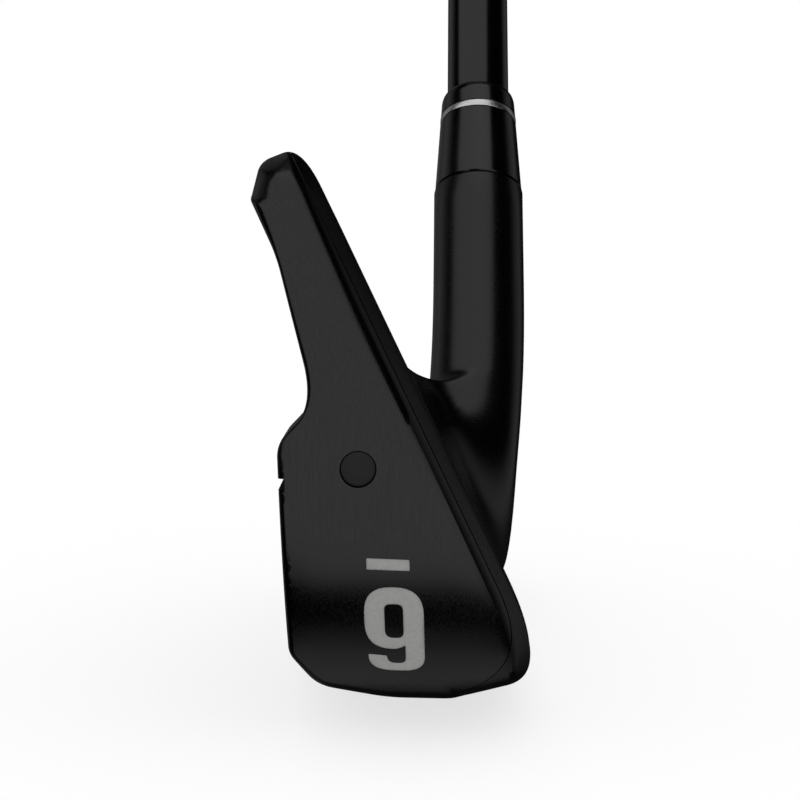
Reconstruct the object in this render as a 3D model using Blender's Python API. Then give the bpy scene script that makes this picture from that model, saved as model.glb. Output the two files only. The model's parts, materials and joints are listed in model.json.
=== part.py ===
"""Right-handed hollow-bodied six iron, built as its separate pieces.

The club stands in its address position: the sole rests on the ground plane, +X points
at the target, -Y is the toe, +Y is the heel and the golfer, +Z is up. The origin is the
contact point in the middle of the sole. Sizes in this file are in millimetres and
degrees, and MM turns them into Blender's metres.
"""

import math

import bmesh
import bpy
import numpy as np
from mathutils import Vector
from mathutils.geometry import delaunay_2d_cdt

MM = 0.001

# Driving dimensions of the head.
LOFT = 27.0
LIE = 62.0
FACE_FOOT_X = 15.0
TOE_TOP_Y = -29.0
TOE_TOP_V = 61.35
HEEL_TOP_Y = 40.0
HEEL_TOP_V = 34.8
TOPLINE_WIDTH = 6.42
MUSCLE_BACK_X = -12.9
MUSCLE_BULGE = 0.8
TOE_MOST_Y = -42.8

# Hosel, neck and bore, measured from the shaft axis and along it from the ground.
SHAFT_FOOT_X = 9.6
SHAFT_FOOT_Y = 38.0
HOSEL_RADIUS = 6.65
HOSEL_TOP = 64.2
HOSEL_BEVEL = 0.45
NECK_FRONT_TRIM = 0.65
NECK_TOP_LAG = 1.5
NECK_FILLET = 6.0
NECK_START_Y = 24.0
NECK_END_ANGLE = 44.0
BORE_RADIUS = 4.85
BORE_BOTTOM = 33.0

# Face insert and cavity.
SEAM_DEPTH = 1.2
SEAM_GAP = 0.1
INSERT_HEEL_Y = 27.0
CAVITY_HEEL_Y = 22.0
FACE_WALL = 1.9
BODY_WALL = 2.5
TOP_WALL = 3.2
TOE_WALL = 3.2
FOAM_GAP = 0.3
GROOVE_PITCH = 3.6
GROOVE_WIDTH = 0.9
GROOVE_DEPTH = 0.45
GROOVE_COUNT = 13
GROOVE_FIRST_V = 8.6
GROOVE_HALF_LENGTH = 25.0

# Toe port, plug and weight.
PORT_X = -6.9
PORT_Z = 25.6
PORT_RADIUS = 1.65
PLUG_RADIUS = 1.6
PLUG_RECESS = 0.25
PLUG_LENGTH = 2.6
WEIGHT_MIN = (-20.0, -45.0, -4.0)
WEIGHT_MAX = (3.0, -12.0, 8.4)

# Shaft, ferrule and grip, measured along the shaft axis from the ground.
SHAFT_TIP = 33.5
SHAFT_BUTT = 953.0
TIP_RADIUS = 4.7
BUTT_RADIUS = 7.62
SHAFT_WALL = 0.6
FIRST_STEP = 262.0
STEP_PITCH = 30.0
STEP_COUNT = 15
STEP_RISE = 1.2
TIP_PLUG_LENGTH = 14.0
FERRULE_BOTTOM = 64.3
FERRULE_TOP = 81.0
FERRULE_BOTTOM_RADIUS = 6.5
FERRULE_TOP_RADIUS = 5.5
RING_BOTTOM = 76.2
RING_HEIGHT = 1.0
GRIP_MOUTH = 691.0
GRIP_BUTT = 953.4
CLUB_LENGTH = 958.0
GRIP_MOUTH_RADIUS = 9.9
GRIP_BUTT_RADIUS = 13.4
GRIP_CAP_RADIUS = 14.4
GRIP_INNER_GAP = 0.03
TAPE_THICKNESS = 0.15
VENT_RADIUS = 1.3
ROUND_SIDES = 28

LOFT_RAD = math.radians(LOFT)
LIE_RAD = math.radians(LIE)
SHAFT_DIRECTION = Vector((0.0, math.cos(LIE_RAD), math.sin(LIE_RAD)))
HEEL_SIDE = Vector((0.0, math.sin(LIE_RAD), -math.cos(LIE_RAD)))
SHAFT_FOOT = Vector((SHAFT_FOOT_X, SHAFT_FOOT_Y, 0.0))
FACE_NORMAL = Vector((math.cos(LOFT_RAD), 0.0, math.sin(LOFT_RAD)))

# Samples on each rounded corner and on the straight run after it, round the section.
RING_COUNTS = [(2, 1), (7, 3), (4, 0), (3, 0), (2, 1), (3, 1), (6, 1), (3, 2), (3, 1), (3, 1), (2, 0)]
# Radius of the rounded toe edge at each corner of the section.
TOE_EDGE_ROLL = [1.2, 4.4, 2.8, 2.6, 1.6, 0.6, 0.5, 0.5, 0.6, 0.8, 1.2]
# Angle on the hosel circle that each corner of the section flows into.
HOSEL_ANGLES = [-76, -42, 62, 88, 104, 118, 150, 196, 232, 256, 272, 284]


def smooth_step(value):
    value = min(max(value, 0.0), 1.0)
    return value * value * (3.0 - 2.0 * value)


def face_point(depth, up):
    """Point of the XZ plane at a depth behind the face plane and a height up the face."""
    return (FACE_FOOT_X - depth * math.cos(LOFT_RAD) - up * math.sin(LOFT_RAD),
            up * math.cos(LOFT_RAD) - depth * math.sin(LOFT_RAD))


def soft_path(corners, counts):
    """Closed polygon whose corners are eased by parabolas.

    A corner is (point, cut before, cut after) and its counts are the samples on its curve
    and on the straight run that follows. Returns the points and their corner numbers.
    """
    points = [np.array(corner[0], float) for corner in corners]
    starts, ends = [], []
    for index, (_, before, after) in enumerate(corners):
        to_previous = points[index - 1] - points[index]
        to_next = points[(index + 1) % len(corners)] - points[index]
        starts.append(points[index] + to_previous * min(before / np.linalg.norm(to_previous), 0.48))
        ends.append(points[index] + to_next * min(after / np.linalg.norm(to_next), 0.48))
    path, tags = [], []
    for index, (on_curve, on_line) in enumerate(counts):
        for step in range(on_curve):
            t = step / (on_curve - 1) if on_curve > 1 else 0.5
            path.append((1 - t) ** 2 * starts[index] + 2 * t * (1 - t) * points[index] + t * t * ends[index])
            tags.append(index - 0.25 + 0.5 * t)
        following = starts[(index + 1) % len(corners)]
        for step in range(1, on_line + 1):
            t = step / (on_line + 1)
            path.append(ends[index] + (following - ends[index]) * t)
            tags.append(index + 0.25 + 0.5 * t)
    return np.array(path), np.array(tags) % len(corners)


def sole_height(y):
    if y < -10.0:
        return 1.26 * ((-10.0 - y) / 14.0) ** 2
    if y > 14.0:
        return 1.6 * ((y - 14.0) / 22.0) ** 2
    return 0.0


def top_height(y):
    """Height of the top line up the face at station y."""
    return TOE_TOP_V + (HEEL_TOP_V - TOE_TOP_V) * (y - TOE_TOP_Y) / (HEEL_TOP_Y - TOE_TOP_Y)


def section_corners(y):
    """Corners of the blade's XZ section at station y, from the sole round by the face."""
    sole = sole_height(y)
    top = top_height(y)
    low = 14.0

    def scaled(up):
        return low + (up - low) * (top - low) / (TOE_TOP_V - low)

    bulge = MUSCLE_BULGE * max(0.0, 1.0 - ((y - 2.0) / 30.0) ** 2)
    taper = 3.2 * smooth_step((y - 4.0) / 34.0)
    edge_height = sole + 2.2
    crown = smooth_step((-5.0 - y) / 25.0)
    leading_edge = (FACE_FOOT_X - edge_height * math.tan(LOFT_RAD), edge_height)
    muscle_top = face_point(13.5 - 0.35 * taper, scaled(37.7))
    return [
        ((2.6, sole), 1.2, 1.2),
        (leading_edge, 7.5, 11.0),
        (face_point(0.0, top), 2.6 + 2.2 * crown, 1.5 + 0.4 * crown),
        (face_point(3.3 + 0.75 * crown, top + 0.2 * crown), 1.5 - 0.6 * crown, 1.5 - 0.6 * crown),
        (face_point(TOPLINE_WIDTH, top - 2.75), 0.35, 0.35),
        (face_point(TOPLINE_WIDTH, scaled(52.7)), 1.5, 1.5),
        (face_point(8.95, scaled(39.4)), 4.0, 4.0),
        ((muscle_top[0] - bulge, muscle_top[1]), 1.3, 1.3),
        ((MUSCLE_BACK_X - bulge * 0.7 + taper, sole + 5.2), 0.8, 0.8),
        ((-10.2 + taper * 0.8, sole + 1.6), 1.5, 1.5),
        ((-3.4, sole), 1.5, 1.5),
    ]


def section(y):
    return soft_path(section_corners(y), RING_COUNTS)


def between_corners(values, tags):
    wrapped = list(values) + [values[0]]
    return np.interp(tags, range(len(wrapped)), wrapped)


def hosel_turns(tags):
    """Angle round the hosel circle that each sample of the section flows into."""
    return np.radians(np.interp(tags, range(len(HOSEL_ANGLES)), HOSEL_ANGLES))


def toe_outline():
    """Toe profile in the YZ plane, from the sole up to the top line."""
    corners = [
        ((-16.0, -2.5), 0.1, 0.1), ((-34.5, 2.4), 8.0, 9.0), ((TOE_MOST_Y, 17.0), 8.5, 8.5),
        ((-41.6, 36.0), 8.0, 8.0), ((-34.2, 56.3), 6.5, 7.0), ((-20.0, 51.5), 0.1, 0.1),
    ]
    path, _ = soft_path(corners, [(1, 0), (24, 0), (16, 0), (16, 0), (24, 0), (1, 0)])
    return path[:int(np.argmax(path[:, 1])) + 1]


TOE_OUTLINE = toe_outline()


def toe_surface(z):
    return np.interp(z, TOE_OUTLINE[:, 1], TOE_OUTLINE[:, 0])


def neck_pivot():
    """Point of the YZ plane that the neck's sections turn about, found by bisection."""
    reach = NECK_FILLET + HOSEL_RADIUS
    low, high = 0.0, 80.0
    for _ in range(60):
        along = (low + high) / 2
        y = SHAFT_FOOT_Y + along * math.cos(LIE_RAD) - reach * math.sin(LIE_RAD)
        z = along * math.sin(LIE_RAD) + reach * math.cos(LIE_RAD)
        if z - NECK_FILLET < face_point(2.0, top_height(y))[1]:
            low = along
        else:
            high = along
    return y, z, along


PIVOT_Y, PIVOT_Z, PIVOT_ALONG = neck_pivot()


def heel_outline():
    """Heel profile in the YZ plane: the sole, the heel corner and the hosel's heel side."""
    foot = SHAFT_FOOT_Y + HOSEL_RADIUS / math.sin(LIE_RAD)
    run = math.cos(LIE_RAD) / math.sin(LIE_RAD)
    corners = [
        ((14.0, 0.0), 0.1, 0.1), ((foot + 1.4 * run, 1.4), 13.0, 15.0), ((foot + 60.0 * run, 60.0), 0.1, 0.1),
    ]
    return soft_path(corners, [(1, 0), (20, 0), (1, 0)])[0]


HEEL_OUTLINE = heel_outline()


def heel_distance(angle):
    """Distance from the neck pivot to the heel profile along a section turned by angle."""
    direction = np.array([math.sin(angle), -math.cos(angle)])
    pivot = np.array([PIVOT_Y, PIVOT_Z])
    distances = []
    for start, end in zip(HEEL_OUTLINE[:-1], HEEL_OUTLINE[1:]):
        run = end - start
        gap = start - pivot
        determinant = run[0] * direction[1] - direction[0] * run[1]
        if abs(determinant) < 1e-9:
            continue
        distance = (run[0] * gap[1] - gap[0] * run[1]) / determinant
        along = (direction[0] * gap[1] - direction[1] * gap[0]) / determinant
        if distance > 0 and -1e-6 <= along <= 1 + 1e-6:
            distances.append(distance)
    return min(distances)


def neck_ring(y, angle):
    """Section at station y, or past the pivot turned by an angle, eased into the hosel."""
    outline, tags = section(y)
    reach = PIVOT_Z - outline[:, 1]
    progress = 0.5 * max(0.0, (y - NECK_START_Y) / (PIVOT_Y - NECK_START_Y))
    if angle > 0:
        inner, outer = NECK_FILLET, heel_distance(angle)
        reach = inner + (reach - reach.min()) * (outer - inner) / (reach.max() - reach.min())
        progress = 0.5 + 0.5 * angle / math.radians(NECK_END_ANGLE)
    turns = hosel_turns(tags)
    middle, half = (reach.min() + reach.max()) / 2, (reach.max() - reach.min()) / 2
    nearness = (reach.max() - reach) / (2 * half)
    blend = smooth_step(progress) ** (0.75 + NECK_TOP_LAG * nearness ** 2)
    across = np.cos(turns)
    trim = NECK_FRONT_TRIM * smooth_step(angle / LIE_RAD)
    across = np.where(across > 0, HOSEL_RADIUS - trim, HOSEL_RADIUS) * across
    x = (1 - blend) * outline[:, 0] + blend * (SHAFT_FOOT_X + across)
    reach = (1 - blend) * reach + blend * (middle - half * np.sin(turns))
    return np.stack([x, y + reach * math.sin(angle), PIVOT_Z - reach * math.cos(angle)], 1)


def hosel_ring(along, radius):
    _, tags = section(PIVOT_Y)
    turns = hosel_turns(tags)
    centre = np.array(SHAFT_FOOT + SHAFT_DIRECTION * along)
    across = radius * np.cos(turns)[:, None] * np.array([1.0, 0.0, 0.0])
    return centre + across - radius * np.sin(turns)[:, None] * np.array(HEEL_SIDE)


def toe_ring(edge, common_y, steps):
    """Rings from the rounded toe edge, which follows the toe profile, back to common_y."""
    _, tags = section(common_y)
    stations = np.full(len(tags), common_y)
    for _ in range(12):
        heights = [section(max(TOE_TOP_Y - 1.0, y))[0][i][1] for i, y in enumerate(stations)]
        stations = toe_surface(np.array(heights)) + edge
    rings = []
    for step in range(steps):
        row = stations + (common_y - stations) * step / steps
        points = [section(max(TOE_TOP_Y - 1.0, y))[0][i] for i, y in enumerate(row)]
        rings.append(np.array([[p[0], y, p[1]] for p, y in zip(points, row)]))
    return rings


def cap_toe(mesh, ring_vertices, ring, edge, spacing):
    """Close the toe end with a surface that follows the toe profile and rolls at its rim."""
    rim = ring[:, [0, 2]]
    following = np.roll(rim, -1, axis=0)
    tangent = following - np.roll(rim, 1, axis=0)
    tangent /= np.linalg.norm(tangent, axis=1)[:, None]
    inward = np.stack([-tangent[:, 1], tangent[:, 0]], 1)
    if np.mean(np.einsum("ij,ij->i", inward, rim.mean(axis=0) - rim)) < 0:
        inward = -inward
    span = following - rim

    def nearest(point):
        t = np.clip(np.einsum("ij,ij->i", point - rim, span) / np.einsum("ij,ij->i", span, span), 0, 1)
        distance = np.linalg.norm(point - rim - span * t[:, None], axis=1)
        local = edge * (1 - t) + np.roll(edge, -1) * t
        best = int(np.argmin(distance / local))
        return distance[best] / local[best], local[best], distance.min()

    inner = []
    for fraction in (0.25, 0.6, 1.0):
        for point, normal, radius in zip(rim, inward, edge):
            if radius < 1.0:
                continue
            candidate = point + normal * radius * fraction
            share, _, clear = nearest(candidate)
            if abs(share - fraction) < 0.08 and clear > 0.2:
                inner.append(candidate)
    low, high = rim.min(axis=0), rim.max(axis=0)
    for z in np.arange(low[1] + 1.5, high[1], spacing):
        for x in np.arange(low[0] + 1.0, high[0], spacing * 1.6):
            candidate = np.array([x, z])
            if not inside(candidate, rim) or nearest(candidate)[0] < 1.2:
                continue
            if nearest(candidate)[2] > 0.8:
                inner.append(candidate)
    coordinates = [Vector(p) for p in rim] + [Vector(p) for p in inner]
    points, _, faces, origins, _, _ = delaunay_2d_cdt(coordinates, [], [list(range(len(rim)))], 1, 1e-5)
    vertices = []
    for point, origin in zip(points, origins):
        if origin and min(origin) < len(rim):
            vertices.append(ring_vertices[min(origin)])
            continue
        flat = np.array(point)
        share, radius, _ = nearest(flat)
        drop = radius * (1 - math.sqrt(max(0.0, 1 - max(0.0, 1 - share) ** 2)))
        vertices.append(mesh.verts.new(Vector((flat[0], toe_surface(flat[1]) + drop, flat[1])) * MM))
    for face in faces:
        mesh.faces.new([vertices[i] for i in face])


def inside(point, polygon):
    hit = False
    for start, end in zip(polygon, np.roll(polygon, -1, axis=0)):
        if (start[1] > point[1]) != (end[1] > point[1]):
            crossing = start[0] + (point[1] - start[1]) * (end[0] - start[0]) / (end[1] - start[1])
            hit ^= point[0] < crossing
    return hit


# Wall left inside each straight run of the section when it is hollowed.
CAVITY_WALLS = [BODY_WALL, FACE_WALL, TOP_WALL, 2.0, 2.0, 2.0, BODY_WALL, BODY_WALL, BODY_WALL, BODY_WALL, BODY_WALL]


def inset_corners(corners, walls):
    """Move every straight run of a section inwards by its wall and meet them again."""
    points = [np.array(corner[0], float) for corner in corners]
    lines = []
    for index, wall in enumerate(walls):
        run = points[(index + 1) % len(points)] - points[index]
        run /= np.linalg.norm(run)
        lines.append((points[index] + wall * np.array([-run[1], run[0]]), run))
    result = []
    for index, corner in enumerate(corners):
        (base, run), (other, other_run) = lines[index - 1], lines[index]
        share = np.linalg.solve(np.stack([run, -other_run], 1), other - base)[0]
        result.append((tuple(base + run * share), min(corner[1], 2.5), min(corner[2], 2.5)))
    return result


def material(name, color, roughness, metallic):
    made = bpy.data.materials.new(name)
    made.use_nodes = True
    shader = made.node_tree.nodes["Principled BSDF"]
    shader.inputs["Base Color"].default_value = (*color, 1.0)
    shader.inputs["Roughness"].default_value = roughness
    shader.inputs["Metallic"].default_value = metallic
    return made


def add_object(name, mesh, look=None, sharp_angle=32.0):
    """Turn a bmesh into an object; without a look it is a cutter."""
    bmesh.ops.recalc_face_normals(mesh, faces=mesh.faces)
    data = bpy.data.meshes.new(name)
    mesh.to_mesh(data)
    mesh.free()
    made = bpy.data.objects.new(name, data)
    bpy.context.scene.collection.objects.link(made)
    if look is None:
        made.hide_render = True
        made.display_type = "WIRE"
    else:
        data.materials.append(look)
        data.shade_smooth()
        data.set_sharp_from_angle(angle=math.radians(sharp_angle))
    return made


def cut(target, cutter, operation="DIFFERENCE"):
    modifier = target.modifiers.new(cutter.name, "BOOLEAN")
    modifier.operation = operation
    modifier.solver = "EXACT"
    modifier.object = cutter


def add_ring(mesh, ring):
    return [mesh.verts.new(Vector(point) * MM) for point in ring]


def bridge(mesh, first, second):
    for index in range(len(first)):
        following = (index + 1) % len(first)
        mesh.faces.new((first[index], first[following], second[following], second[index]))


def loft(rings, closed=False):
    """Mesh through the rings: a solid with flat ends, or a closed tube of rings."""
    mesh = bmesh.new()
    rows = [add_ring(mesh, ring) for ring in rings]
    for first, second in zip(rows[:-1], rows[1:]):
        bridge(mesh, first, second)
    if closed:
        bridge(mesh, rows[-1], rows[0])
    else:
        mesh.faces.new(rows[0])
        mesh.faces.new(rows[-1])
    return mesh


def head_skin():
    """The whole outside of the head, from the toe to the hosel's mouth."""
    _, tags = section(0.0)
    edge = between_corners(TOE_EDGE_ROLL, tags)
    rings = toe_ring(edge, -19.0, 3)
    rings += [neck_ring(y, 0.0) for y in np.linspace(-19.0, NECK_START_Y, 6)]
    rings += [neck_ring(y, 0.0) for y in np.linspace(NECK_START_Y, PIVOT_Y, 7)[1:]]
    quarter = math.radians(LIE)
    rings += [neck_ring(PIVOT_Y, angle) for angle in np.linspace(0.0, quarter, 9)[1:]]
    rings.append(hosel_ring(HOSEL_TOP - HOSEL_BEVEL, HOSEL_RADIUS))
    rings.append(hosel_ring(HOSEL_TOP, HOSEL_RADIUS - HOSEL_BEVEL))
    mesh = bmesh.new()
    rows = [add_ring(mesh, ring) for ring in rings]
    for first, second in zip(rows[:-1], rows[1:]):
        bridge(mesh, first, second)
    mesh.faces.new(rows[-1])
    cap_toe(mesh, rows[0], rings[0], edge, 4.0)
    return mesh


def prism(profile, start_y, end_y):
    """Extrude a profile of the XZ plane along Y."""
    return loft([np.array([(x, y, z) for x, z in profile]) for y in (start_y, end_y)])


def block(low, high, bevel=0.0):
    mesh = bmesh.new()
    bmesh.ops.create_cube(mesh, size=1.0)
    for vertex in mesh.verts:
        vertex.co = Vector([(a + b) / 2 + c * (b - a) for a, b, c in zip(low, high, vertex.co)]) * MM
    if bevel:
        bmesh.ops.bevel(mesh, geom=mesh.edges[:], offset=bevel * MM, segments=2, affect="EDGES", profile=0.5)
    return mesh


def circle(centre, first, second, radius, sides=ROUND_SIDES):
    turns = [2 * math.pi * side / sides for side in range(sides)]
    return [centre + first * radius * math.cos(turn) + second * radius * math.sin(turn) for turn in turns]


def shaft_circle(along, radius, sides=ROUND_SIDES):
    return circle(SHAFT_FOOT + SHAFT_DIRECTION * along, Vector((1, 0, 0)), HEEL_SIDE, radius, sides)


def turned(profile, closed=False, sides=ROUND_SIDES):
    """Solid or tube turned about the shaft axis from (along, radius) pairs."""
    return loft([shaft_circle(along, radius, sides) for along, radius in profile], closed)


def hollow(name, extra, look=None):
    """The cavity of the head as a cutter, or with extra a smaller solid that fits in it."""
    walls = [wall + extra for wall in CAVITY_WALLS]
    rings = []
    for y in np.linspace(-45.0, CAVITY_HEEL_Y - extra, 9):
        outline, _ = soft_path(inset_corners(section_corners(max(y, TOE_TOP_Y - 1.0)), walls), RING_COUNTS)
        rings.append(np.array([(x, y, z) for x, z in outline]))
    shape = add_object(name, loft(rings), look)
    toe = TOE_MOST_Y + TOE_WALL + extra
    outline = [(40.0, -5.0), (toe + 10.4, -5.0), (toe + 0.8, 17.0), (toe + 1.6, 36.0), (toe + 12.0, 63.0), (40.0, 63.0)]
    rings = [np.array([(x, y, z) for y, z in outline]) for x in (-40.0, 40.0)]
    cut(shape, add_object(f"{name}_toe_limit", loft(rings)), "INTERSECT")
    return shape


def seam_profile(gap):
    """Region in front of the weld seam: the face, the leading edge and the front sole."""
    top = face_point(SEAM_DEPTH, 80.0)
    knee = face_point(SEAM_DEPTH, 13.5)
    corners = [
        (top, 0.1, 0.1), (knee, 4.0, 2.0), ((7.2, 6.6), 2.4, 3.0), ((-2.3, -1.0), 0.1, 0.1),
        ((-2.3, -9.0), 0.1, 0.1), ((40.0, -9.0), 0.1, 0.1), ((40.0, 80.0), 0.1, 0.1),
    ]
    path, _ = soft_path(corners, [(1, 0), (5, 0), (5, 0), (1, 0), (1, 0), (1, 0), (1, 0)])
    return path - np.array([gap, 0.0])


def groove_cutter():
    """One mesh with every score line, each a shallow trapezoid across the face."""
    mesh = bmesh.new()
    for index in range(GROOVE_COUNT):
        up = GROOVE_FIRST_V + GROOVE_PITCH * index
        room = TOE_TOP_Y + (TOE_TOP_V - up - 3.6) * (HEEL_TOP_Y - TOE_TOP_Y) / (TOE_TOP_V - HEEL_TOP_V)
        heel_end = min(GROOVE_HALF_LENGTH, room)
        outline = [
            face_point(-0.5, up - GROOVE_WIDTH * 0.75), face_point(-0.5, up + GROOVE_WIDTH * 0.75),
            face_point(GROOVE_DEPTH, up + GROOVE_WIDTH * 0.25), face_point(GROOVE_DEPTH, up - GROOVE_WIDTH * 0.25),
        ]
        rows = [add_ring(mesh, [(x, y, z) for x, z in outline]) for y in (-GROOVE_HALF_LENGTH, heel_end)]
        bridge(mesh, rows[0], rows[1])
        mesh.faces.new(rows[0])
        mesh.faces.new(rows[1])
    return mesh


def build_head():
    steel = material("black_steel", (0.02, 0.02, 0.021), 0.38, 1.0)
    face_steel = material("face_steel", (0.024, 0.024, 0.025), 0.42, 1.0)
    tungsten = material("tungsten", (0.33, 0.32, 0.31), 0.4, 1.0)
    foam = material("foam", (0.75, 0.72, 0.6), 0.9, 0.0)
    plug_steel = material("plug_steel", (0.018, 0.018, 0.018), 0.5, 1.0)

    cavity = hollow("cavity", 0.0)
    body = add_object("head_body", head_skin(), steel, 28.0)
    behind = prism(seam_profile(SEAM_GAP), -60.0, INSERT_HEEL_Y + SEAM_GAP)
    cut(body, add_object("face_clearance", behind))
    cut(body, cavity)
    across, up = Vector((1, 0, 0)), Vector((0, 0, 1))
    port = [circle(Vector((PORT_X, y, PORT_Z)), across, up, PORT_RADIUS) for y in (-50.0, -34.0)]
    cut(body, add_object("port_drill", loft(port)))
    bore = turned([(BORE_BOTTOM, BORE_RADIUS), (HOSEL_TOP + 2.0, BORE_RADIUS)])
    cut(body, add_object("hosel_drill", bore))

    insert = add_object("face_insert", head_skin(), face_steel, 28.0)
    region = add_object("face_region", prism(seam_profile(0.0), -60.0, INSERT_HEEL_Y))
    cut(insert, region, "INTERSECT")
    cut(insert, cavity)
    cut(insert, add_object("groove_mill", groove_cutter()))

    weight = add_object("toe_weight", block(WEIGHT_MIN, WEIGHT_MAX), tungsten)
    cut(weight, hollow("weight_bed", FOAM_GAP), "INTERSECT")
    core = hollow("foam_core", FOAM_GAP, foam)
    low = [value - FOAM_GAP for value in WEIGHT_MIN]
    high = [value + FOAM_GAP for value in WEIGHT_MAX]
    cut(core, add_object("weight_pocket", block(low, high)))

    face_y = float(toe_surface(PORT_Z)) + PLUG_RECESS
    profile = [(face_y, PLUG_RADIUS - 0.12), (face_y + 0.12, PLUG_RADIUS),
               (face_y + PLUG_LENGTH - 0.2, PLUG_RADIUS), (face_y + PLUG_LENGTH, PLUG_RADIUS - 0.2)]
    plug = [circle(Vector((PORT_X, y, PORT_Z)), across, up, radius) for y, radius in profile]
    add_object("toe_port_plug", loft(plug), plug_steel)


def shaft_radius(along):
    """Outer radius of the stepped tube: each step up follows the last by STEP_PITCH."""
    steps = math.floor((along - FIRST_STEP) / STEP_PITCH) + 1
    steps = min(max(steps, 0), STEP_COUNT)
    return TIP_RADIUS + (BUTT_RADIUS - TIP_RADIUS) * steps / STEP_COUNT


def build_shaft():
    black_tube = material("black_tube", (0.018, 0.018, 0.018), 0.22, 1.0)
    profile = [(SHAFT_TIP, TIP_RADIUS - 0.3), (SHAFT_TIP + 0.6, TIP_RADIUS)]
    for step in range(STEP_COUNT):
        along = FIRST_STEP + STEP_PITCH * step
        profile.append((along - STEP_RISE / 2, shaft_radius(along - STEP_PITCH / 2)))
        profile.append((along + STEP_RISE / 2, shaft_radius(along + STEP_PITCH / 2)))
    profile.append((SHAFT_BUTT, BUTT_RADIUS))
    last_step = FIRST_STEP + STEP_PITCH * (STEP_COUNT - 1)
    inside_tip = TIP_RADIUS - SHAFT_WALL
    profile += [(SHAFT_BUTT, BUTT_RADIUS - SHAFT_WALL), (last_step, BUTT_RADIUS - SHAFT_WALL),
                (FIRST_STEP, inside_tip), (SHAFT_TIP, inside_tip)]
    add_object("shaft", turned(profile, closed=True), black_tube)

    brass = material("brass", (0.6, 0.45, 0.2), 0.35, 1.0)
    radius = inside_tip - 0.06
    profile = [(SHAFT_TIP + 0.4, radius - 0.4), (SHAFT_TIP + 0.8, radius),
               (SHAFT_TIP + TIP_PLUG_LENGTH - 0.4, radius), (SHAFT_TIP + TIP_PLUG_LENGTH, radius - 0.4)]
    add_object("shaft_tip_plug", turned(profile), brass)

    resin = material("resin", (0.7, 0.65, 0.5), 0.4, 0.0)
    outer, inner = BORE_RADIUS - 0.02, TIP_RADIUS + 0.02
    bottom, top = SHAFT_TIP + 1.0, HOSEL_TOP - 0.5
    profile = [(bottom, outer), (top, outer), (top, inner), (bottom, inner)]
    add_object("hosel_epoxy", turned(profile, closed=True), resin)


def ferrule_radius(along):
    share = (along - FERRULE_BOTTOM) / (FERRULE_TOP - FERRULE_BOTTOM)
    return FERRULE_BOTTOM_RADIUS + (FERRULE_TOP_RADIUS - FERRULE_BOTTOM_RADIUS) * share


def build_ferrule():
    plastic = material("ferrule_plastic", (0.012, 0.012, 0.012), 0.18, 0.0)
    silver = material("trim_ring", (0.6, 0.6, 0.6), 0.3, 1.0)
    inner = TIP_RADIUS + 0.03
    gap = 0.04
    ring_top = RING_BOTTOM + RING_HEIGHT
    bottom, top = FERRULE_BOTTOM, RING_BOTTOM - gap
    middle = (bottom + top) / 2
    profile = [(bottom, ferrule_radius(bottom)), (middle, ferrule_radius(middle)), (top, ferrule_radius(top)),
               (top, inner), (bottom, inner)]
    add_object("ferrule_sleeve", turned(profile, closed=True), plastic)
    proud = 0.05
    profile = [(RING_BOTTOM, ferrule_radius(RING_BOTTOM) + proud), (ring_top, ferrule_radius(ring_top) + proud),
               (ring_top, inner), (RING_BOTTOM, inner)]
    add_object("ferrule_trim_ring", turned(profile, closed=True), silver)
    bottom = ring_top + gap
    shoulder = 1.6
    profile = [(bottom, ferrule_radius(bottom)), (FERRULE_TOP - shoulder, ferrule_radius(FERRULE_TOP - shoulder))]
    for turn in (30, 60, 85):
        angle = math.radians(turn)
        start = ferrule_radius(FERRULE_TOP - shoulder)
        profile.append((FERRULE_TOP - shoulder + shoulder * math.sin(angle),
                        start - (start - inner - 0.1) * (1 - math.cos(angle))))
    profile += [(FERRULE_TOP, inner), (bottom, inner)]
    add_object("ferrule_collar", turned(profile, closed=True), plastic)


def grip_radius(along):
    """Outer radius of the grip, which swells a little faster towards the butt."""
    share = (along - GRIP_MOUTH) / (GRIP_BUTT - GRIP_MOUTH)
    return GRIP_MOUTH_RADIUS + (GRIP_BUTT_RADIUS - GRIP_MOUTH_RADIUS) * (0.75 * share + 0.25 * share ** 2)


def build_grip():
    rubber = material("grip_rubber", (0.02, 0.02, 0.02), 0.85, 0.0)
    tape_look = material("grip_tape", (0.7, 0.65, 0.5), 0.8, 0.0)
    tape_inner = BUTT_RADIUS + GRIP_INNER_GAP
    tape_outer = tape_inner + TAPE_THICKNESS
    bottom, top = GRIP_MOUTH + 6.0, SHAFT_BUTT - 1.0
    profile = [(bottom, tape_outer), (top, tape_outer), (top, tape_inner), (bottom, tape_inner)]
    add_object("grip_tape", turned(profile, closed=True), tape_look)

    inner = tape_outer + GRIP_INNER_GAP
    profile = [(GRIP_MOUTH, GRIP_MOUTH_RADIUS - 0.8), (GRIP_MOUTH + 0.8, GRIP_MOUTH_RADIUS)]
    profile += [(along, grip_radius(along)) for along in np.linspace(GRIP_MOUTH + 4.0, GRIP_BUTT, 9)]
    profile += [(GRIP_BUTT, inner), (GRIP_MOUTH, inner)]
    add_object("grip_sleeve", turned(profile, closed=True), rubber)

    cap_look = material("grip_cap_rubber", (0.025, 0.025, 0.025), 0.7, 0.0)
    bottom = GRIP_BUTT + 0.1
    profile = [(bottom, GRIP_BUTT_RADIUS), (bottom + 0.8, GRIP_CAP_RADIUS), (CLUB_LENGTH - 1.6, GRIP_CAP_RADIUS),
               (CLUB_LENGTH - 0.5, GRIP_CAP_RADIUS - 0.6), (CLUB_LENGTH, GRIP_CAP_RADIUS - 2.2),
               (CLUB_LENGTH, VENT_RADIUS), (bottom, VENT_RADIUS)]
    add_object("grip_end_cap", turned(profile, closed=True), cap_look)


for existing in list(bpy.data.objects):
    bpy.data.objects.remove(existing, do_unlink=True)
build_head()
build_shaft()
build_ferrule()
build_grip()
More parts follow.
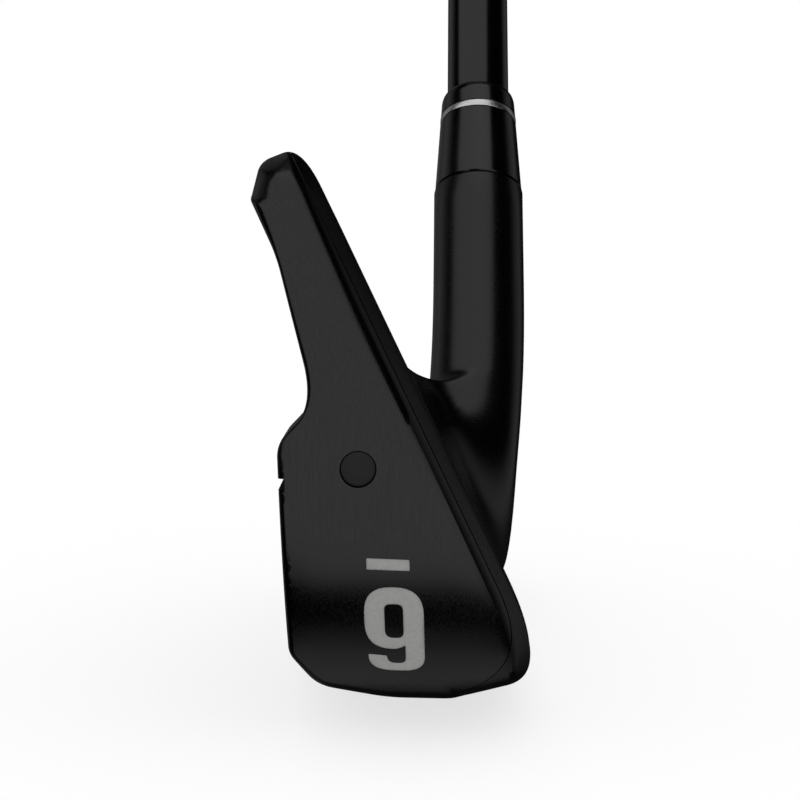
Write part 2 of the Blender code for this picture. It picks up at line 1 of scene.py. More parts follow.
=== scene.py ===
"""Looks of the black hollow-bodied six iron: fine surfaces, materials, studio light and camera.

Shapes are worked out in millimetres in the part's own frame (+X target, -Y toe, +Z up, the
origin under the middle of the sole) and MM turns them into metres.
"""

import json
import math

import bmesh
import bpy
import numpy as np
from mathutils import Matrix, Vector
from mathutils.bvhtree import BVHTree
from mathutils.geometry import delaunay_2d_cdt
from mathutils.interpolate import poly_3d_calc


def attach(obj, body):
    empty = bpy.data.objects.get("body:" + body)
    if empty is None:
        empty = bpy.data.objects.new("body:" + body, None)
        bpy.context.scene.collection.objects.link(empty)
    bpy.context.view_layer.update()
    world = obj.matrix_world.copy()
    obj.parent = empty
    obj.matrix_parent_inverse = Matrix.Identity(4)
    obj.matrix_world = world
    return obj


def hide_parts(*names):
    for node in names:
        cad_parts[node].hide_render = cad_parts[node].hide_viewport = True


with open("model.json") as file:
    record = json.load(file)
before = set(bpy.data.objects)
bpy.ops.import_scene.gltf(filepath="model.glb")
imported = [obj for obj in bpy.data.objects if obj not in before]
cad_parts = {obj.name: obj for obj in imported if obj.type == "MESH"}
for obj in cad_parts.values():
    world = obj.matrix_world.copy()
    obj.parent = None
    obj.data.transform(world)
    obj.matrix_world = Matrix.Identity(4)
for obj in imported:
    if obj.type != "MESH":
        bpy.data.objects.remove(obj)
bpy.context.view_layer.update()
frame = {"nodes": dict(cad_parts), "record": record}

MM = 0.001
BODY = "root"

# Frame facts: the shaft's axis and the face plane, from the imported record's mounts.
MOUNTS = {mount["name"]: mount for mount in frame["record"]["mounts"]}
SHAFT_DIRECTION = Vector(MOUNTS["grip_hold"]["axis"]).normalized()
LIE_RAD = math.asin(SHAFT_DIRECTION.z)
HEEL_SIDE = Vector((0.0, math.sin(LIE_RAD), -math.cos(LIE_RAD)))
GRIP_POINT = Vector(MOUNTS["grip_hold"]["pos_m"]) / MM
SHAFT_FOOT = GRIP_POINT - SHAFT_DIRECTION * (GRIP_POINT.z / SHAFT_DIRECTION.z)
LOFT_RAD = math.asin(MOUNTS["striking_face"]["axis"][2])
FACE_POINT = Vector(MOUNTS["striking_face"]["pos_m"]) / MM
FACE_FOOT_X = FACE_POINT.x + FACE_POINT.z * math.tan(LOFT_RAD)

# Blade.
TOE_TOP_Y = -29.0
TOE_TOP_V = 61.35
HEEL_TOP_Y = 40.0
HEEL_TOP_V = 36.4
TOPLINE_WIDTH = 6.42
MUSCLE_BACK_X = -12.9
MUSCLE_BULGE = 0.8
TOE_MOST_Y = -42.8
TOE_COMMON_Y = -19.0
TOE_SET_BACK = 0.3
SET_BACK_RUN = 10.0
CROWN_Y = -5.0
CROWN_RUN = 25.0
TAPER_Y = 4.0
TAPER_RUN = 34.0
TAPER_DEPTH = 3.2
EDGE_HEIGHT = 2.2
SCALE_FROM = 14.0
MUSCLE_MIDDLE_Y = 2.0
MUSCLE_REACH = 30.0
SOLE_FLAT_FROM, SOLE_FLAT_TO = -10.0, 14.0
SOLE_TOE_RISE, SOLE_TOE_RUN = 1.26, 14.0
SOLE_HEEL_RISE, SOLE_HEEL_RUN = 1.6, 22.0

# The soft crease along the toe: its course, its roundness and slope, and where it fades out.
CREASE_Z = [3.0, 9.2, 17.2, 27.2, 29.5]
CREASE_X = [-9.4, -10.78, -11.01, -11.64, -12.2]
CREASE_ROUND, CREASE_SLOPE = 0.05, 0.11
CREASE_TOP, CREASE_FADE = 31.0, 3.0

# Hosel, neck and bore, measured from the shaft axis and along it from the ground.
HOSEL_RADIUS = 6.65
HOSEL_TOP = 64.2
HOSEL_BEVEL = 0.45
NECK_TOP_LAG = 3.0
NECK_PACE = 0.75
NECK_FILLET = 6.0
NECK_START_Y = 24.0
NECK_END_ANGLE = 44.0
NECK_EASE_Y = 12.0
NECK_EASE_TOP = 60.0
NECK_EASE_PASSES = 16
NECK_BLEND = 5.0
NECK_INSET = 1.3
NECK_INSET_FROM = 0.5
NECK_CLIP_EASE = 4.0
NECK_LEAN = 0.0033
NECK_LEAN_TOP = 40.0
BLADE_RINGS = 15
NECK_RINGS = 34
HOSEL_RINGS = 18
BORE_RADIUS = 4.85
BORE_BOTTOM = 33.0

# Face insert, its weld seam and the score lines.
SEAM_DEPTH = 1.2
SEAM_GAP = 0.1
DEEP_SEAM_GAP = 0.02
DEEP_SEAM_Y = -33.0
INSERT_HEEL_Y = 27.0
GROOVE_PITCH = 3.6
GROOVE_WIDTH = 0.9
GROOVE_DEPTH = 0.45
GROOVE_COUNT = 13
GROOVE_FIRST_V = 8.6
GROOVE_HALF_LENGTH = 25.0

# Toe port, back channel, number and underline.
PORT_X = -6.9
PORT_Z = 25.6
PORT_RADIUS = 1.65
PLUG_RADIUS = 1.6
PLUG_RECESS = 0.25
CHANNEL_Z = 24.05
CHANNEL_HEIGHT = 1.0
CHANNEL_DEPTH = 0.6
NUMBER_X = -3.22
NUMBER_Z = 10.62
NUMBER_LEAN = 0.066
ENGRAVING_DEPTH = 0.3
PAINT_LEVEL = 0.1
PAINT_CLEARANCE = 0.02
INLAY_SPACING = 0.45
INLAY_CLEARANCE = 0.12

# Shaft, ferrule and grip, measured along the shaft axis from the ground.
TIP_RADIUS = 4.7
BUTT_RADIUS = 7.62
SHAFT_TIP = 33.5
SHAFT_BUTT = 953.0
SHAFT_WALL = 0.6
FIRST_STEP = 262.0
STEP_PITCH = 30.0
STEP_COUNT = 15
STEP_RISE = 1.2
FERRULE_BOTTOM = 64.3
FERRULE_TOP = 81.0
FERRULE_BOTTOM_RADIUS = 6.5
FERRULE_TOP_RADIUS = 5.5
RING_BOTTOM = 76.2
RING_HEIGHT = 1.0
GRIP_MOUTH = 691.0
GRIP_BUTT = 953.4
CLUB_LENGTH = 958.0
GRIP_MOUTH_RADIUS = 9.9
GRIP_BUTT_RADIUS = 13.4
GRIP_CAP_RADIUS = 14.4
VENT_RADIUS = 1.3
ROUND_SIDES = 96
CAP_GAP = 0.1
GRIP_LIP = 5.0
GRIP_BAND = 2.0
GRIP_ROW = 7.5
GRIP_SLOTS = 16
GRIP_PATTERN_DEPTH = 0.45
SLOT_HALF_WIDTH, SLOT_HALF_LENGTH = 0.32, 0.34
GRIP_ROUND, GRIP_ROUND_DEPTH = 1.2, 0.6
GRIP_RINGS = 560
GRIP_SIDES = 192

GLOSS_BLACK = (0.022, 0.022, 0.022)

# Brightness of each area of the studio, and where along its direction it fades in and is full.
FRONT_LIGHT, FRONT_EDGE = 0.9, (0.66, 0.76)
SOFTBOX_AIM, SOFTBOX_EDGE, SOFTBOX_SIDE = (-0.35, -0.5, 0.79), (0.62, 0.70), (-0.02, 0.08)
TOP_LIGHT, TOP_EDGE = 0.2, (0.86, 0.96)
FLOOR_LIGHT, FLOOR_EDGE = 0.5, (0.90, 0.98)
SIDE_LIGHT, SIDE_EDGE, SIDE_DEPTH = 0.22, (0.60, 0.76), (0.15, 0.45)
BACK_LIGHT, BACK_EDGE, BACK_DEPTH = 0.1, (0.0, 0.3), (0.3, 0.6)
RING_LIGHT = 0.008
SOFT_LIGHT = 1.04
FLOOR_GLOW = 0.72
FLOOR_REACH = 6.0
FLOOR_DROP = 0.2

# Camera: place in millimetres, turns in degrees, lens in millimetres.
CAMERA_PLACE = (-6.05, -196.93, 41.31)
CAMERA_YAW = 1.0075
CAMERA_PITCH = 3.4932
CAMERA_ROLL = 1.5
CAMERA_LENS = 78.75

# Samples on each rounded corner and on the straight run after it, round the section.
RING_COUNTS = [(8, 4), (26, 40), (16, 3), (12, 2), (8, 8), (8, 10), (22, 8), (14, 16), (10, 4),
               (12, 6), (10, 6)]
# Depth of the eased toe edge at each corner of the section, how much of it is a flat chamfer
# and how steep that chamfer is.
TOE_EDGE_ROLL = [1.2, 4.4, 3.3, 3.3, 1.6, 0.6, 0.6, 0.6, 0.6, 0.8, 1.2]
TOE_EDGE_FLAT = [0.0, 1.0, 0.6, 0.6, 0.4, 0.0, 0.0, 0.0, 0.0, 0.0, 0.0]
TOE_EDGE_STEEP = [2.4, 2.4, 1.9, 1.5, 1.5, 1.5, 1.5, 1.5, 1.5, 2.0, 2.4]
TOE_RINGS = 10
TOE_GRID = 24
TOE_SOLVE_PASSES = 20
TOE_EVEN_PASSES = 160
# Place among the section's corners round which the rim is evened out: fully within one corner of
# it, and not at all past one and a half.
TOE_EVEN_MIDDLE = 2.9
CAP_ROWS = 14
CAP_SPACING = 0.7
CAP_ROW_TOLERANCE = 0.03
CAP_CLEARANCE = 0.004
CAP_FLAT_SHARE = 1.08
# Angle on the hosel circle that each corner of the section flows into.
HOSEL_ANGLES = [-76, -42, 62, 88, 104, 118, 150, 196, 232, 256, 272, 284]


def smooth_step(value):
    value = min(max(value, 0.0), 1.0)
    return value * value * (3.0 - 2.0 * value)


def face_point(depth, up):
    """Point of the XZ plane at a depth behind the face plane and a height up the face."""
    return (FACE_FOOT_X - depth * math.cos(LOFT_RAD) - up * math.sin(LOFT_RAD),
            up * math.cos(LOFT_RAD) - depth * math.sin(LOFT_RAD))


def soft_path(corners, counts, longest=0.48):
    """Closed polygon whose corners are eased by parabolas.

    A corner is (point, cut before, cut after) and its counts are the samples on its curve
    and on the straight run that follows. No cut takes a larger share of its edge than the
    longest. Returns the points and their corner numbers.
    """
    points = [np.array(corner[0], float) for corner in corners]
    starts, ends = [], []
    for index, (_, before, after) in enumerate(corners):
        to_previous = points[index - 1] - points[index]
        to_next = points[(index + 1) % len(corners)] - points[index]
        starts.append(points[index] + to_previous * min(before / np.linalg.norm(to_previous), longest))
        ends.append(points[index] + to_next * min(after / np.linalg.norm(to_next), longest))
    path, tags = [], []
    for index, (on_curve, on_line) in enumerate(counts):
        for step in range(on_curve):
            t = step / (on_curve - 1) if on_curve > 1 else 0.5
            path.append((1 - t) ** 2 * starts[index] + 2 * t * (1 - t) * points[index] + t * t * ends[index])
            tags.append(index - 0.25 + 0.5 * t)
        following = starts[(index + 1) % len(corners)]
        for step in range(1, on_line + 1):
            t = step / (on_line + 1)
            path.append(ends[index] + (following - ends[index]) * t)
            tags.append(index + 0.25 + 0.5 * t)
    return np.array(path), np.array(tags) % len(corners)


def sole_height(y):
    if y < SOLE_FLAT_FROM:
        return SOLE_TOE_RISE * ((SOLE_FLAT_FROM - y) / SOLE_TOE_RUN) ** 2
    if y > SOLE_FLAT_TO:
        return SOLE_HEEL_RISE * ((y - SOLE_FLAT_TO) / SOLE_HEEL_RUN) ** 2
    return 0.0


def top_height(y):
    """Height of the top line up the face at station y."""
    return TOE_TOP_V + (HEEL_TOP_V - TOE_TOP_V) * (y - TOE_TOP_Y) / (HEEL_TOP_Y - TOE_TOP_Y)


def section_corners(y):
    """Corners of the blade's XZ section at station y, from the sole round by the face."""
    sole = sole_height(y)
    top = top_height(y)

    def scaled(up):
        return SCALE_FROM + (up - SCALE_FROM) * (top - SCALE_FROM) / (TOE_TOP_V - SCALE_FROM)

    bulge = MUSCLE_BULGE * max(0.0, 1.0 - ((y - MUSCLE_MIDDLE_Y) / MUSCLE_REACH) ** 2)
    taper = TAPER_DEPTH * smooth_step((y - TAPER_Y) / TAPER_RUN)
    edge_height = sole + EDGE_HEIGHT
    crown = smooth_step((CROWN_Y - y) / CROWN_RUN)
    set_back = TOE_SET_BACK * smooth_step((TOE_COMMON_Y - y) / SET_BACK_RUN)
    leading_edge = (FACE_FOOT_X - edge_height * math.tan(LOFT_RAD) - set_back, edge_height)
    muscle_top = face_point(13.5 - 0.35 * taper, scaled(37.7))
    return [
        ((2.6, sole), 1.2, 1.2),
        (leading_edge, 7.5, 11.0),
        (face_point(0.0, top), 2.6 + 2.2 * crown, 1.58 + 0.4 * crown),
        (face_point(3.3 + 0.75 * crown, top + 0.2 * crown), 1.58 - 0.58 * crown, 1.6 - 0.6 * crown),
        (face_point(TOPLINE_WIDTH, top - 2.75), 0.35, 0.35),
        (face_point(TOPLINE_WIDTH, scaled(52.7)), 1.5, 1.5),
        (face_point(8.95, scaled(39.4)), 4.0, 4.0),
        ((muscle_top[0] - bulge, muscle_top[1]), 1.3, 1.3),
        ((MUSCLE_BACK_X - bulge * 0.7 + taper, sole + 5.2), 0.8, 0.8),
        ((-10.2 + taper * 0.8, sole + 1.6), 1.5, 1.5),
        ((-3.4, sole), 1.5, 1.5),
    ]


def section(y):
    return soft_path(section_corners(y), RING_COUNTS)


SECTION_TAGS = section(0.0)[1]


def between_corners(values):
    """Value of a per-corner list at every sample of the section."""
    wrapped = list(values) + [values[0]]
    return np.interp(SECTION_TAGS, range(len(wrapped)), wrapped)


HOSEL_TURNS = np.radians(np.interp(SECTION_TAGS, range(len(HOSEL_ANGLES)), HOSEL_ANGLES))


def toe_outline():
    """Toe profile in the YZ plane, from the sole up to the top line."""
    corners = [
        ((-16.0, -2.5), 0.1, 0.1), ((-34.5, 2.4), 8.0, 9.0), ((TOE_MOST_Y, 17.0), 8.5, 8.5),
        ((-41.6, 36.0), 8.0, 8.0), ((-34.2, 56.3), 6.5, 7.0), ((-20.0, 51.5), 0.1, 0.1),
    ]
    path, _ = soft_path(corners, [(1, 0), (60, 0), (40, 0), (30, 0), (60, 0), (1, 0)])
    return path[:int(np.argmax(path[:, 1])) + 1]


TOE_OUTLINE = toe_outline()


def toe_face(x, z):
    """The toe's own surface before its edges are rounded: y over (x, z), with its soft crease."""
    beyond = np.interp(z, CREASE_Z, CREASE_X) - x
    soft = 0.5 * (beyond + np.sqrt(beyond ** 2 + CREASE_ROUND))
    fade = np.clip((CREASE_TOP - z) / CREASE_FADE, 0.0, 1.0)
    return np.interp(z, TOE_OUTLINE[:, 1], TOE_OUTLINE[:, 0]) + CREASE_SLOPE * soft * fade


def neck_pivot():
    """Point of the YZ plane that the neck's sections turn about, found by bisection."""
    reach = NECK_FILLET + HOSEL_RADIUS
    low, high = 0.0, 80.0
    for _ in range(60):
        along = (low + high) / 2
        y = SHAFT_FOOT.y + along * math.cos(LIE_RAD) - reach * math.sin(LIE_RAD)
        z = along * math.sin(LIE_RAD) + reach * math.cos(LIE_RAD)
        if z - NECK_FILLET < face_point(2.0, top_height(y))[1]:
            low = along
        else:
            high = along
    return y, z, along


PIVOT_Y, PIVOT_Z, PIVOT_ALONG = neck_pivot()


def heel_outline():
    """Heel profile in the YZ plane: the sole, the heel corner and the hosel's heel side."""
    foot = SHAFT_FOOT.y + HOSEL_RADIUS / math.sin(LIE_RAD)
    run = math.cos(LIE_RAD) / math.sin(LIE_RAD)
    corners = [
        ((14.0, 0.0), 0.1, 0.1), ((foot + 1.4 * run, 1.4), 13.0, 15.0),
        ((foot + 60.0 * run, 60.0), 0.1, 0.1),
    ]
    return soft_path(corners, [(1, 0), (60, 0), (1, 0)])[0]


HEEL_OUTLINE = heel_outline()


def heel_distance(angle):
    """Distance from the neck pivot to the heel profile along a section turned by angle."""
    direction = (math.sin(angle), -math.cos(angle))
    run = np.diff(HEEL_OUTLINE, axis=0)
    gap = HEEL_OUTLINE[:-1] - np.array([PIVOT_Y, PIVOT_Z])
    determinant = run[:, 0] * direction[1] - direction[0] * run[:, 1]
    distance = (run[:, 0] * gap[:, 1] - gap[:, 0] * run[:, 1]) / determinant
    along = (direction[0] * gap[:, 1] - direction[1] * gap[:, 0]) / determinant
    return distance[(distance > 0) & (along >= -1e-6) & (along <= 1 + 1e-6)].min()


def pivot_progress(y):
    """Half of the way to the hosel, at the station where the sections begin to turn."""
    return 0.5 * max(0.0, (y - NECK_START_Y) / (PIVOT_Y - NECK_START_Y))


def neck_ring(y, angle, lag=0.0):
    """Section at station y, or past the pivot turned by an angle, eased into the hosel.

    With a lag the section's top keeps the blade's shape and level for longer.
    """
    outline, _ = section(y)
    reach = PIVOT_Z - outline[:, 1]
    progress = pivot_progress(y)
    if angle > 0:
        inner = NECK_FILLET / math.cos(angle) if lag else NECK_FILLET
        outer = heel_distance(angle)
        reach = inner + (reach - reach.min()) * (outer - inner) / (reach.max() - reach.min())
        progress = 0.5 + 0.5 * angle / math.radians(NECK_END_ANGLE)
    middle, half = (reach.min() + reach.max()) / 2, (reach.max() - reach.min()) / 2
    nearness = (reach.max() - reach) / (2 * half)
    blend = smooth_step(progress) ** (NECK_PACE + lag * nearness ** 2)
    x = (1 - blend) * outline[:, 0] + blend * (SHAFT_FOOT.x + HOSEL_RADIUS * np.cos(HOSEL_TURNS))
    reach = (1 - blend) * reach + blend * (middle - half * np.sin(HOSEL_TURNS))
    return np.stack([x, y + reach * math.sin(angle), PIVOT_Z - reach * math.cos(angle)], 1)


def polygon_distance(points, polygon):
    """Signed distance of 2-D points to a closed polygon, negative inside."""
    span = np.roll(polygon, -1, axis=0) - polygon
    length = np.einsum("ij,ij->i", span, span)
    offset = points[:, None, :] - polygon[None, :, :]
    share = np.clip(np.einsum("pij,ij->pi", offset, span) / length, 0.0, 1.0)
    distance = np.linalg.norm(offset - share[:, :, None] * span[None, :, :], axis=2).min(axis=1)
    return np.where(inside(points, polygon), -distance, distance)


def neck_lean(height):
    """How far the barrel's axis leans back from the face below the neck's straight part."""
    return NECK_LEAN * np.clip(NECK_LEAN_TOP - height, 0.0, None) ** 2


def hosel_field(points):
    """Distance outside the hosel's cylinder, whose lower end leans back and stops at the heel."""
    from_foot = points - np.array(SHAFT_FOOT)
    across = from_foot[:, 0] + neck_lean(points[:, 2])
    beside = from_foot @ np.array(HEEL_SIDE)
    barrel = np.hypot(across, beside) - HOSEL_RADIUS
    gap = np.interp(points[:, 1], HEEL_OUTLINE[:, 0], HEEL_OUTLINE[:, 1]) - points[:, 2]
    clip = gap * math.sin(LIE_RAD / 2)
    return blend_fields(barrel, clip, -NECK_CLIP_EASE)


def blend_fields(first, second, ease):
    """Smooth union of two distances, or their smooth overlap for a negative ease."""
    overlap = np.clip(1.0 - np.abs(first - second) / abs(ease), 0.0, None)
    round_off = overlap ** 2 * abs(ease) / 4
    if ease > 0:
        return np.minimum(first, second) - round_off
    return np.maximum(first, second) + round_off


def joined_ring(y, angle):
    """Outline of a neck section and the hosel's barrel together, in the section's own plane."""
    upright = np.array([0.0, -math.sin(angle), math.cos(angle)])
    ring = neck_ring(y, angle, NECK_TOP_LAG)
    polygon = np.stack([ring[:, 0], ring @ upright], 1)[::3]
    guide = neck_ring(y, angle)
    middle = guide.mean(axis=0)
    rays = guide - middle
    share = pivot_progress(y) + 0.5 * angle / LIE_RAD
    inset = NECK_BLEND * NECK_INSET * smooth_step((share - NECK_INSET_FROM) / (1.0 - NECK_INSET_FROM))

    def field(scale):
        placed = middle + rays * scale[:, None]
        flat = np.stack([placed[:, 0], placed @ upright], 1)
        return blend_fields(polygon_distance(flat, polygon) + inset, hosel_field(placed), NECK_BLEND)

    scan = np.linspace(0.05, 3.0, 60)
    outside = np.stack([field(np.full(len(ring), scale)) for scale in scan]) > 0
    first_out = np.argmax(outside, axis=0)
    high, low = scan[first_out], scan[np.maximum(first_out - 1, 0)]
    for _ in range(16):
        trial = (low + high) / 2
        out = field(trial) > 0
        high = np.where(out, trial, high)
        low = np.where(out, low, trial)
    return middle + rays * low[:, None]


def neck_rings():
    """Rings from the plain blade to the plain hosel, each point's path eased into a smooth curve."""
    plan = [(y, 0.0) for y in np.linspace(NECK_EASE_Y, PIVOT_Y, NECK_RINGS)]
    plan += [(PIVOT_Y, angle) for angle in np.linspace(0.0, LIE_RAD, NECK_RINGS)[1:]]
    rings = [joined_ring(y, angle) for y, angle in plan]
    for along in np.linspace(PIVOT_ALONG + 1.0, NECK_EASE_TOP, HOSEL_RINGS):
        ring = hosel_ring(along, HOSEL_RADIUS)
        ring[:, 0] -= neck_lean(ring[:, 2])
        rings.append(ring)
    rings = np.stack(rings)
    for _ in range(NECK_EASE_PASSES):
        rings[1:-1] = 0.25 * rings[:-2] + 0.5 * rings[1:-1] + 0.25 * rings[2:]
    return list(rings)


def hosel_ring(along, radius):
    centre = np.array(SHAFT_FOOT + SHAFT_DIRECTION * along)
    across = radius * np.cos(HOSEL_TURNS)[:, None] * np.array([1.0, 0.0, 0.0])
    return centre + across - radius * np.sin(HOSEL_TURNS)[:, None] * np.array(HEEL_SIDE)


def toe_rings(edge):
    """Rings from the eased toe edge, which follows the toe's surface, back to TOE_COMMON_Y.

    Also returns the depth of the toe edge once its rim has been evened out over the top.
    """
    grid = np.linspace(TOE_TOP_Y - 1.0, TOE_COMMON_Y, TOE_GRID)
    table = np.stack([section(y)[0] for y in grid])

    def at(stations):
        return np.array([[np.interp(y, grid, table[:, index, axis]) for axis in (0, 1)]
                         for index, y in enumerate(stations)])

    stations = np.full(len(SECTION_TAGS), TOE_COMMON_Y)
    for _ in range(TOE_SOLVE_PASSES):
        points = at(stations)
        stations = toe_face(points[:, 0], points[:, 1]) + edge
    over_top = np.clip(3.0 - np.abs(SECTION_TAGS - TOE_EVEN_MIDDLE) * 2.0, 0.0, 1.0)
    for _ in range(TOE_EVEN_PASSES):
        evened = 0.25 * np.roll(stations, 1) + 0.5 * stations + 0.25 * np.roll(stations, -1)
        stations = stations + over_top * (evened - stations)
    points = at(stations)
    edge = np.maximum(stations - toe_face(points[:, 0], points[:, 1]), 0.2)
    rings = []
    for step in range(TOE_RINGS):
        row = stations + (TOE_COMMON_Y - stations) * step / TOE_RINGS
        points = at(row)
        rings.append(np.stack([points[:, 0], row, points[:, 1]], 1))
    return rings, edge


def inside(points, polygon):
    """Which of the points lie inside a closed polygon."""
    hit = np.zeros(len(points), bool)
    for start, end in zip(polygon, np.roll(polygon, -1, axis=0)):
        spans = (start[1] > points[:, 1]) != (end[1] > points[:, 1])
        rise = end[1] - start[1] if abs(end[1] - start[1]) > 1e-12 else 1e-12
        crossing = start[0] + (points[:, 1] - start[1]) * (end[0] - start[0]) / rise
        hit ^= spans & (points[:, 0] < crossing)
    return hit


def outline_normals(outline):
    """Unit normals of a closed outline, all on one side of it."""
    tangent = np.roll(outline, -1, axis=0) - np.roll(outline, 1, axis=0)
    tangent /= np.linalg.norm(tangent, axis=1)[:, None]
    return np.stack([-tangent[:, 1], tangent[:, 0]], 1)


def grid_over(outline, spacing):
    low, high = outline.min(axis=0), outline.max(axis=0)
    return np.array([(x, z) for z in np.arange(low[1], high[1], spacing)
                     for x in np.arange(low[0], high[0], spacing)])


class ToeRim:
    """The rim of the toe's end in the XZ plane, with the roll of its edge."""

    def __init__(self, ring, edge):
        self.rim = ring[:, [0, 2]]
        self.edge = edge
        self.profile = np.stack([edge, between_corners(TOE_EDGE_FLAT), between_corners(TOE_EDGE_STEEP)], 1)
        self.span = np.roll(self.rim, -1, axis=0) - self.rim
        self.length = np.einsum("ij,ij->i", self.span, self.span)
        self.inward = outline_normals(self.rim)
        if np.mean(np.einsum("ij,ij->i", self.inward, self.rim.mean(axis=0) - self.rim)) < 0:
            self.inward = -self.inward

    def nearest(self, points):
        """For each point: its distance in edge depths, its edge values, and the plain distance."""
        shares, values, clear = [], [], []
        for point in points:
            t = np.clip(np.einsum("ij,ij->i", point - self.rim, self.span) / self.length, 0, 1)
            distance = np.linalg.norm(point - self.rim - self.span * t[:, None], axis=1)
            local = self.edge * (1 - t) + np.roll(self.edge, -1) * t
            best = int(np.argmin(distance / local))
            shares.append(distance[best] / local[best])
            values.append(self.profile[best] * (1 - t[best]) + self.profile[(best + 1) % len(t)] * t[best])
            clear.append(distance.min())
        return np.array(shares), np.array(values), np.array(clear)

    def surface(self, points):
        shares, values, _ = self.nearest(points)
        depth, flat, steep = values.T
        left = np.clip(1 - shares, 0.0, 1.0)
        rolled = 1 - np.sqrt(1 - left ** 2)
        slope = 1 - np.minimum(shares, 1.0) * steep
        chamfer = 0.5 * (slope + np.sqrt(slope ** 2 + 0.02)) * left ** 0.25
        return toe_face(points[:, 0], points[:, 1]) + depth * (rolled * (1 - flat) + chamfer * flat)


def cap_points(rim):
    """Points inside the rim: rows that follow the rolled edge, then a grid on the flat."""
    rows = []
    for fraction in [1 - math.cos(math.pi / 2 * step / CAP_ROWS) for step in range(1, CAP_ROWS + 1)]:
        candidates = rim.rim + rim.inward * (rim.edge * fraction)[:, None]
        shares, _, clear = rim.nearest(candidates)
        good = (np.abs(shares - fraction) < CAP_ROW_TOLERANCE) & (clear > CAP_CLEARANCE)
        rows.append(candidates[good & inside(candidates, rim.rim)])
    grid = grid_over(rim.rim, CAP_SPACING)
    grid = grid[inside(grid, rim.rim)]
    shares, _, _ = rim.nearest(grid)
    rows.append(grid[shares > CAP_FLAT_SHARE])
    return np.concatenate(rows)


def add_ring(mesh, ring):
    return [mesh.verts.new(Vector(point) * MM) for point in ring]


def bridge(mesh, first, second):
    for index in range(len(first)):
        following = (index + 1) % len(first)
        mesh.faces.new((first[index], first[following], second[following], second[index]))


def add_rows(mesh, rings):
    """Rings of vertices, each joined to the next by faces."""
    rows = [add_ring(mesh, ring) for ring in rings]
    for first, second in zip(rows[:-1], rows[1:]):
        bridge(mesh, first, second)
    return rows


def loft(rings, closed=False):
    """Mesh through the rings: a solid with flat ends, or a closed tube of rings."""
    mesh = bmesh.new()
    rows = add_rows(mesh, rings)
    if closed:
        bridge(mesh, rows[-1], rows[0])
    else:
        mesh.faces.new(rows[0])
        mesh.faces.new(rows[-1])
    return mesh


def head_skin():
    """The whole outside of the head, from the toe to the hosel's mouth, and its bore."""
    rings, edge = toe_rings(between_corners(TOE_EDGE_ROLL))
    rings += [neck_ring(y, 0.0) for y in np.linspace(TOE_COMMON_Y, NECK_EASE_Y, BLADE_RINGS + 1)[:-1]]
    rings += neck_rings()
    for turn in np.linspace(0.0, math.pi / 2, 5):
        rings.append(hosel_ring(HOSEL_TOP - HOSEL_BEVEL * (1 - math.sin(turn)),
                                HOSEL_RADIUS - HOSEL_BEVEL * (1 - math.cos(turn))))
    rings += [hosel_ring(HOSEL_TOP, BORE_RADIUS), hosel_ring(BORE_BOTTOM, BORE_RADIUS)]
    mesh = bmesh.new()
    rows = add_rows(mesh, rings)
    mesh.faces.new(rows[-1])
    rim = ToeRim(rings[0], edge)
    flat = np.concatenate([rim.rim, cap_points(rim)])
    points, _, faces, origins, _, _ = delaunay_2d_cdt(
        [Vector(point) for point in flat], [], [list(range(len(rim.rim)))], 1, 1e-5)
    placed = np.array([list(point) for point in points])
    heights = rim.surface(placed)
    vertices = []
    for point, height, origin in zip(placed, heights, origins):
        if origin and min(origin) < len(rim.rim):
            vertices.append(rows[0][min(origin)])
        else:
            vertices.append(mesh.verts.new(Vector((point[0], height, point[1])) * MM))
    for face in faces:
        mesh.faces.new([vertices[index] for index in face])
    return mesh


def add_object(name, mesh, sharp_angle=32.0):
    bmesh.ops.recalc_face_normals(mesh, faces=mesh.faces)
    data = bpy.data.meshes.new(name)
    mesh.to_mesh(data)
    mesh.free()
    made = bpy.data.objects.new(name, data)
    bpy.context.scene.collection.objects.link(made)
    data.shade_smooth()
    data.set_sharp_from_angle(angle=math.radians(sharp_angle))
    return made


def carve(target, cutters, operations):
    """Apply one exact boolean to an object for each cutter."""
    for cutter, operation in zip(cutters, operations):
        modifier = target.modifiers.new(cutter.name, "BOOLEAN")
        modifier.operation = operation
        modifier.solver = "EXACT"
        modifier.object = cutter
    bpy.context.view_layer.update()
    graph = bpy.context.evaluated_depsgraph_get()
    carved = bpy.data.meshes.new_from_object(target.evaluated_get(graph))
    target.modifiers.clear()
    target.data = carved


def inherit_normals(target, skin):
    """Give the faces that lie on the skin its smooth normals, so that cuts don't dent the light."""
    tree = BVHTree.FromPolygons([v.co for v in skin.vertices], [p.vertices for p in skin.polygons])
    corner_normals = [n.vector for n in skin.corner_normals]
    mesh = target.data
    normals = [Vector((0.0, 0.0, 0.0))] * len(mesh.loops)
    for polygon in mesh.polygons:
        centre = polygon.center
        _, direction, _, distance = tree.find_nearest(centre)
        first = mesh.vertices[polygon.vertices[0]].co
        touching = tree.find_nearest(first)[3] < 0.01 * MM
        on_skin = touching and distance < 0.05 * MM and direction.dot(polygon.normal) > 0.9
        for loop_index, vertex_index in zip(polygon.loop_indices, polygon.vertices):
            if not on_skin:
                normals[loop_index] = polygon.normal.copy()
                continue
            point = mesh.vertices[vertex_index].co
            _, _, face_index, _ = tree.find_nearest(point.lerp(centre, 0.03))
            face = skin.polygons[face_index]
            weights = poly_3d_calc([skin.vertices[i].co for i in face.vertices], point)
            total = Vector((0.0, 0.0, 0.0))
            for weight, corner in zip(weights, face.loop_indices):
                total += corner_normals[corner] * weight
            normals[loop_index] = total.normalized() if total.length > 1e-6 else polygon.normal.copy()
    mesh.shade_smooth()
    mesh.normals_split_custom_set(normals)


